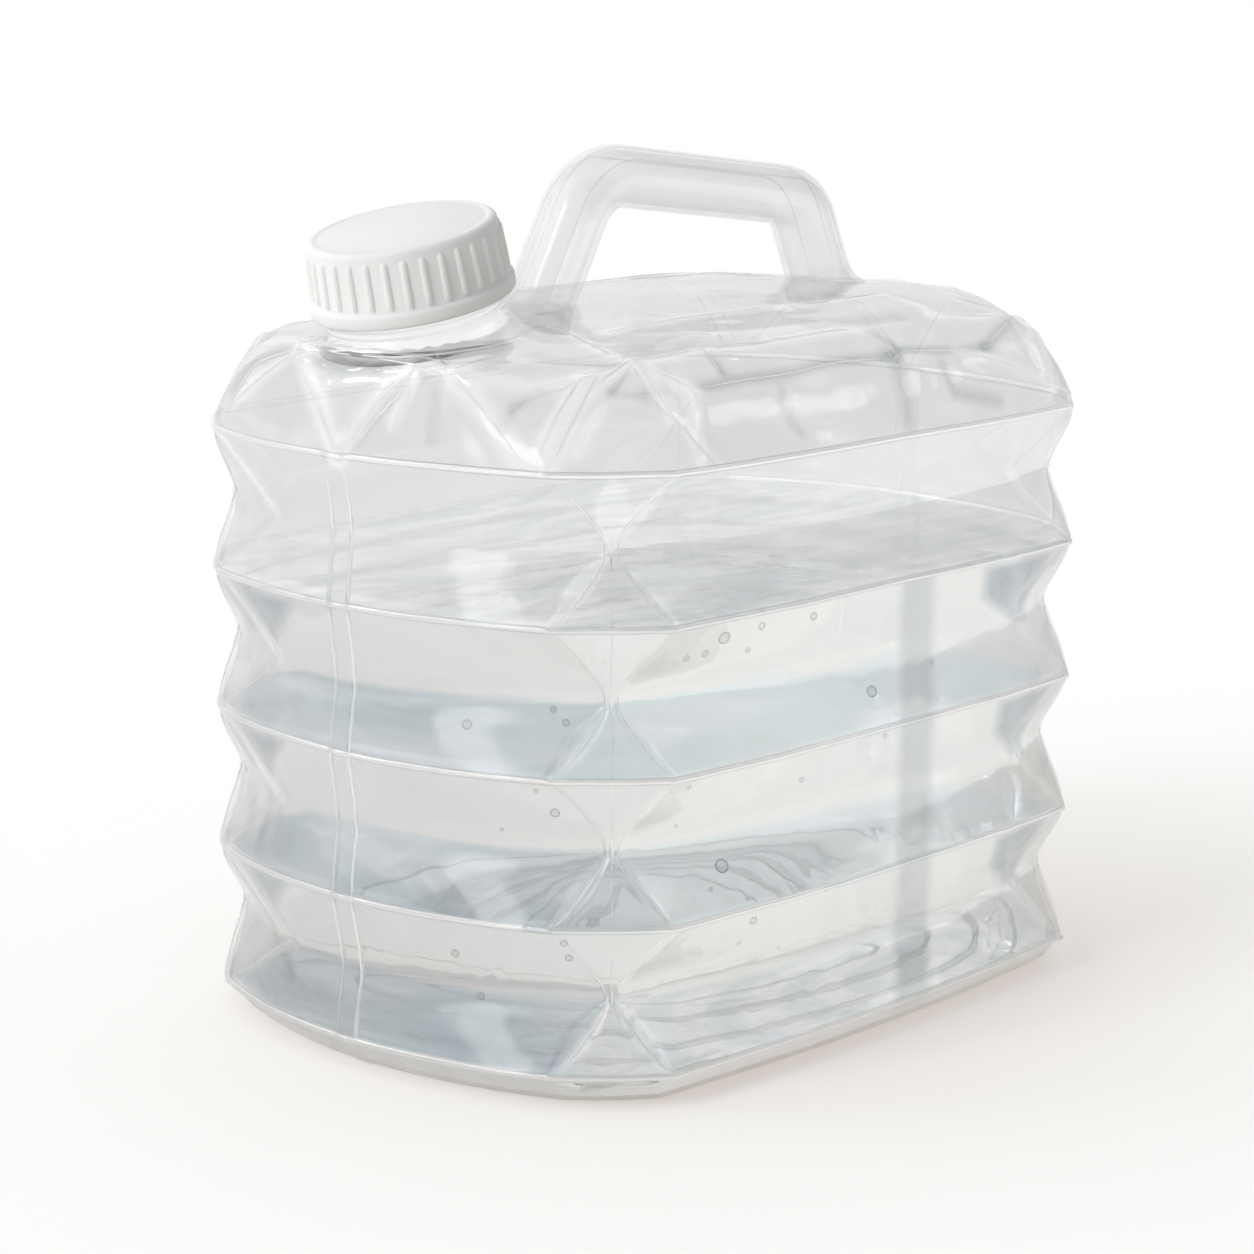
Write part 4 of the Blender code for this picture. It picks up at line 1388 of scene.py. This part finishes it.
def build_room():
    """Soft studio: bright behind the carrier, darker behind the camera, with panels that the film mirrors."""
    world = bpy.data.worlds.new("studio")
    bpy.context.scene.world = world
    world.use_nodes = True
    paint = Shading(world.node_tree)
    around = paint.add("TexCoord", {}).outputs["Generated"]

    def toward(direction, near, full, low, high):
        reach = paint.along(around, Vector(direction).normalized())
        return paint.ramp(reach, near, full, low, high, kind="SMOOTHSTEP")

    level = toward((-0.62, 0.72, 0.30), -0.75, 0.75, 0.27, 0.74)
    level = paint.math("MULTIPLY", level, toward((0, 0, 1), 0.35, 0.95, 1.0, 0.80))
    for direction, near, full, strength in bright_panels:
        level = paint.math("ADD", level, toward(direction, near, full, 0.0, strength))
    level = paint.math("MAXIMUM", level, paint.rays("Camera"))
    tone = paint.tones(toward((0, 0, 1), 0.1, 0.8, 0.0, 1.0), (1.0, 0.995, 0.985), (0.965, 0.985, 1.0))
    paint.feed(paint.nodes["Background"], {"Color": tone, "Strength": level})


# Lamps: name, energy, spread in degrees, direction, whether the film mirrors them

lamps = (
    ("key_lamp", 1.0, 26, (-0.80, 0.10, 0.55), False),
    ("left_glint", 0.09, 7, (-0.60, 0.66, 0.45), True),
    ("corner_glint", 0.08, 6, (-0.66, 0.18, 0.73), True),
    ("right_glint", 0.03, 12, (0.72, -0.40, 0.55), True),
)


def build_lamps():
    """One broad, soft lamp up on the left, and three weak ones that only glint in the film."""
    for name, energy, spread_deg, direction, mirrored in lamps:
        data = bpy.data.lights.new(name, "SUN")
        data.energy = energy
        data.angle = math.radians(spread_deg)
        data.color = (0.985, 0.985, 1.0)
        lamp = bpy.data.objects.new(name, data)
        bpy.context.scene.collection.objects.link(lamp)
        lamp.rotation_euler = Vector(direction).to_track_quat("Z", "Y").to_euler()
        lamp.visible_glossy = mirrored


def place_camera():
    look = camera_heading()
    aim = camera_aside * Vector((math.cos(camera_turn), -math.sin(camera_turn), 0))
    aim.z = camera_aim_height
    data = bpy.data.cameras.new("camera")
    data.sensor_width = camera_sensor
    data.lens = camera_sensor * camera_focal_pixels / photo_pixels
    camera = bpy.data.objects.new("camera", data)
    bpy.context.scene.collection.objects.link(camera)
    camera.location = aim - look * camera_reach
    camera.rotation_euler = look.to_track_quat("-Z", "Y").to_euler()
    bpy.context.scene.camera = camera


def dress(piece, body, replaced=(), fold=None):
    """Hangs a piece on its body, gives it its own mesh when a fold is given, and hides the CAD nodes it
    stands for.
    """
    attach(piece, body)
    if fold:
        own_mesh(piece)
    if replaced:
        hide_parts(*replaced)


def build_carrier():
    film = film_look()
    bead = clear_solid_look("solid_clear_bead", (1.0, 1.0, 1.0), (0.36, 0.39, 0.42), 1.3, 0.30, 4.0)
    thick = clear_solid_look("thick_clear_plastic", (0.96, 0.962, 0.965), (0.50, 0.53, 0.55), 1.15, 0.13, 3.5)
    milky = milky_look()
    keep = 1 - fold_travel / pleat_pitch
    whole_fold = dict(joint="pleat_4_fold", axis=(0, 0, 1), anchor=(0, 0, base_ridge_height), keep=keep)
    panels = ["pleat_%d_%s" % (k, side) for k in (1, 2, 3, 4) for side in ("lower", "upper")]
    ridges = ["fold_ring_2", "fold_ring_3", "fold_ring_4"]

    bellows = build_bellows_film(film)
    dress(bellows, "base", panels + ridges, whole_fold)
    dress(build_fold_beads(bead), "base", fold=whole_fold)
    dress(build_film_creases(bead, bellows), "base", fold=whole_fold)
    dress(build_base_film(film), "base", ["base_pan"])
    dress(build_base_rings(bead), "base")

    top = build_top_film(film)
    dress(top, "top", ["shoulder", "deck"])
    dress(build_shoulder_creases(bead, top), "top")
    dress(build_neck(thick), "top", ["neck"])
    dress(build_neck_thread(thick), "top")
    dress(build_handle(milky), "top", ["handle"])
    dress(build_handle_seam(milky), "top")
    dress(build_cap(cap_look()), "cap", ["cap"])

    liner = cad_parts["cap_liner"]
    liner.data.materials.clear()
    liner.data.materials.append(liner_look())

    water = build_water(water_look())
    dress(water, "base", fold=whole_fold)
    dress(build_bubbles(bubble_look(), water), "base", fold=whole_fold)


build_carrier()
build_floor()
build_room()
build_lamps()
place_camera()
bpy.context.scene.view_settings.view_transform = "Standard"
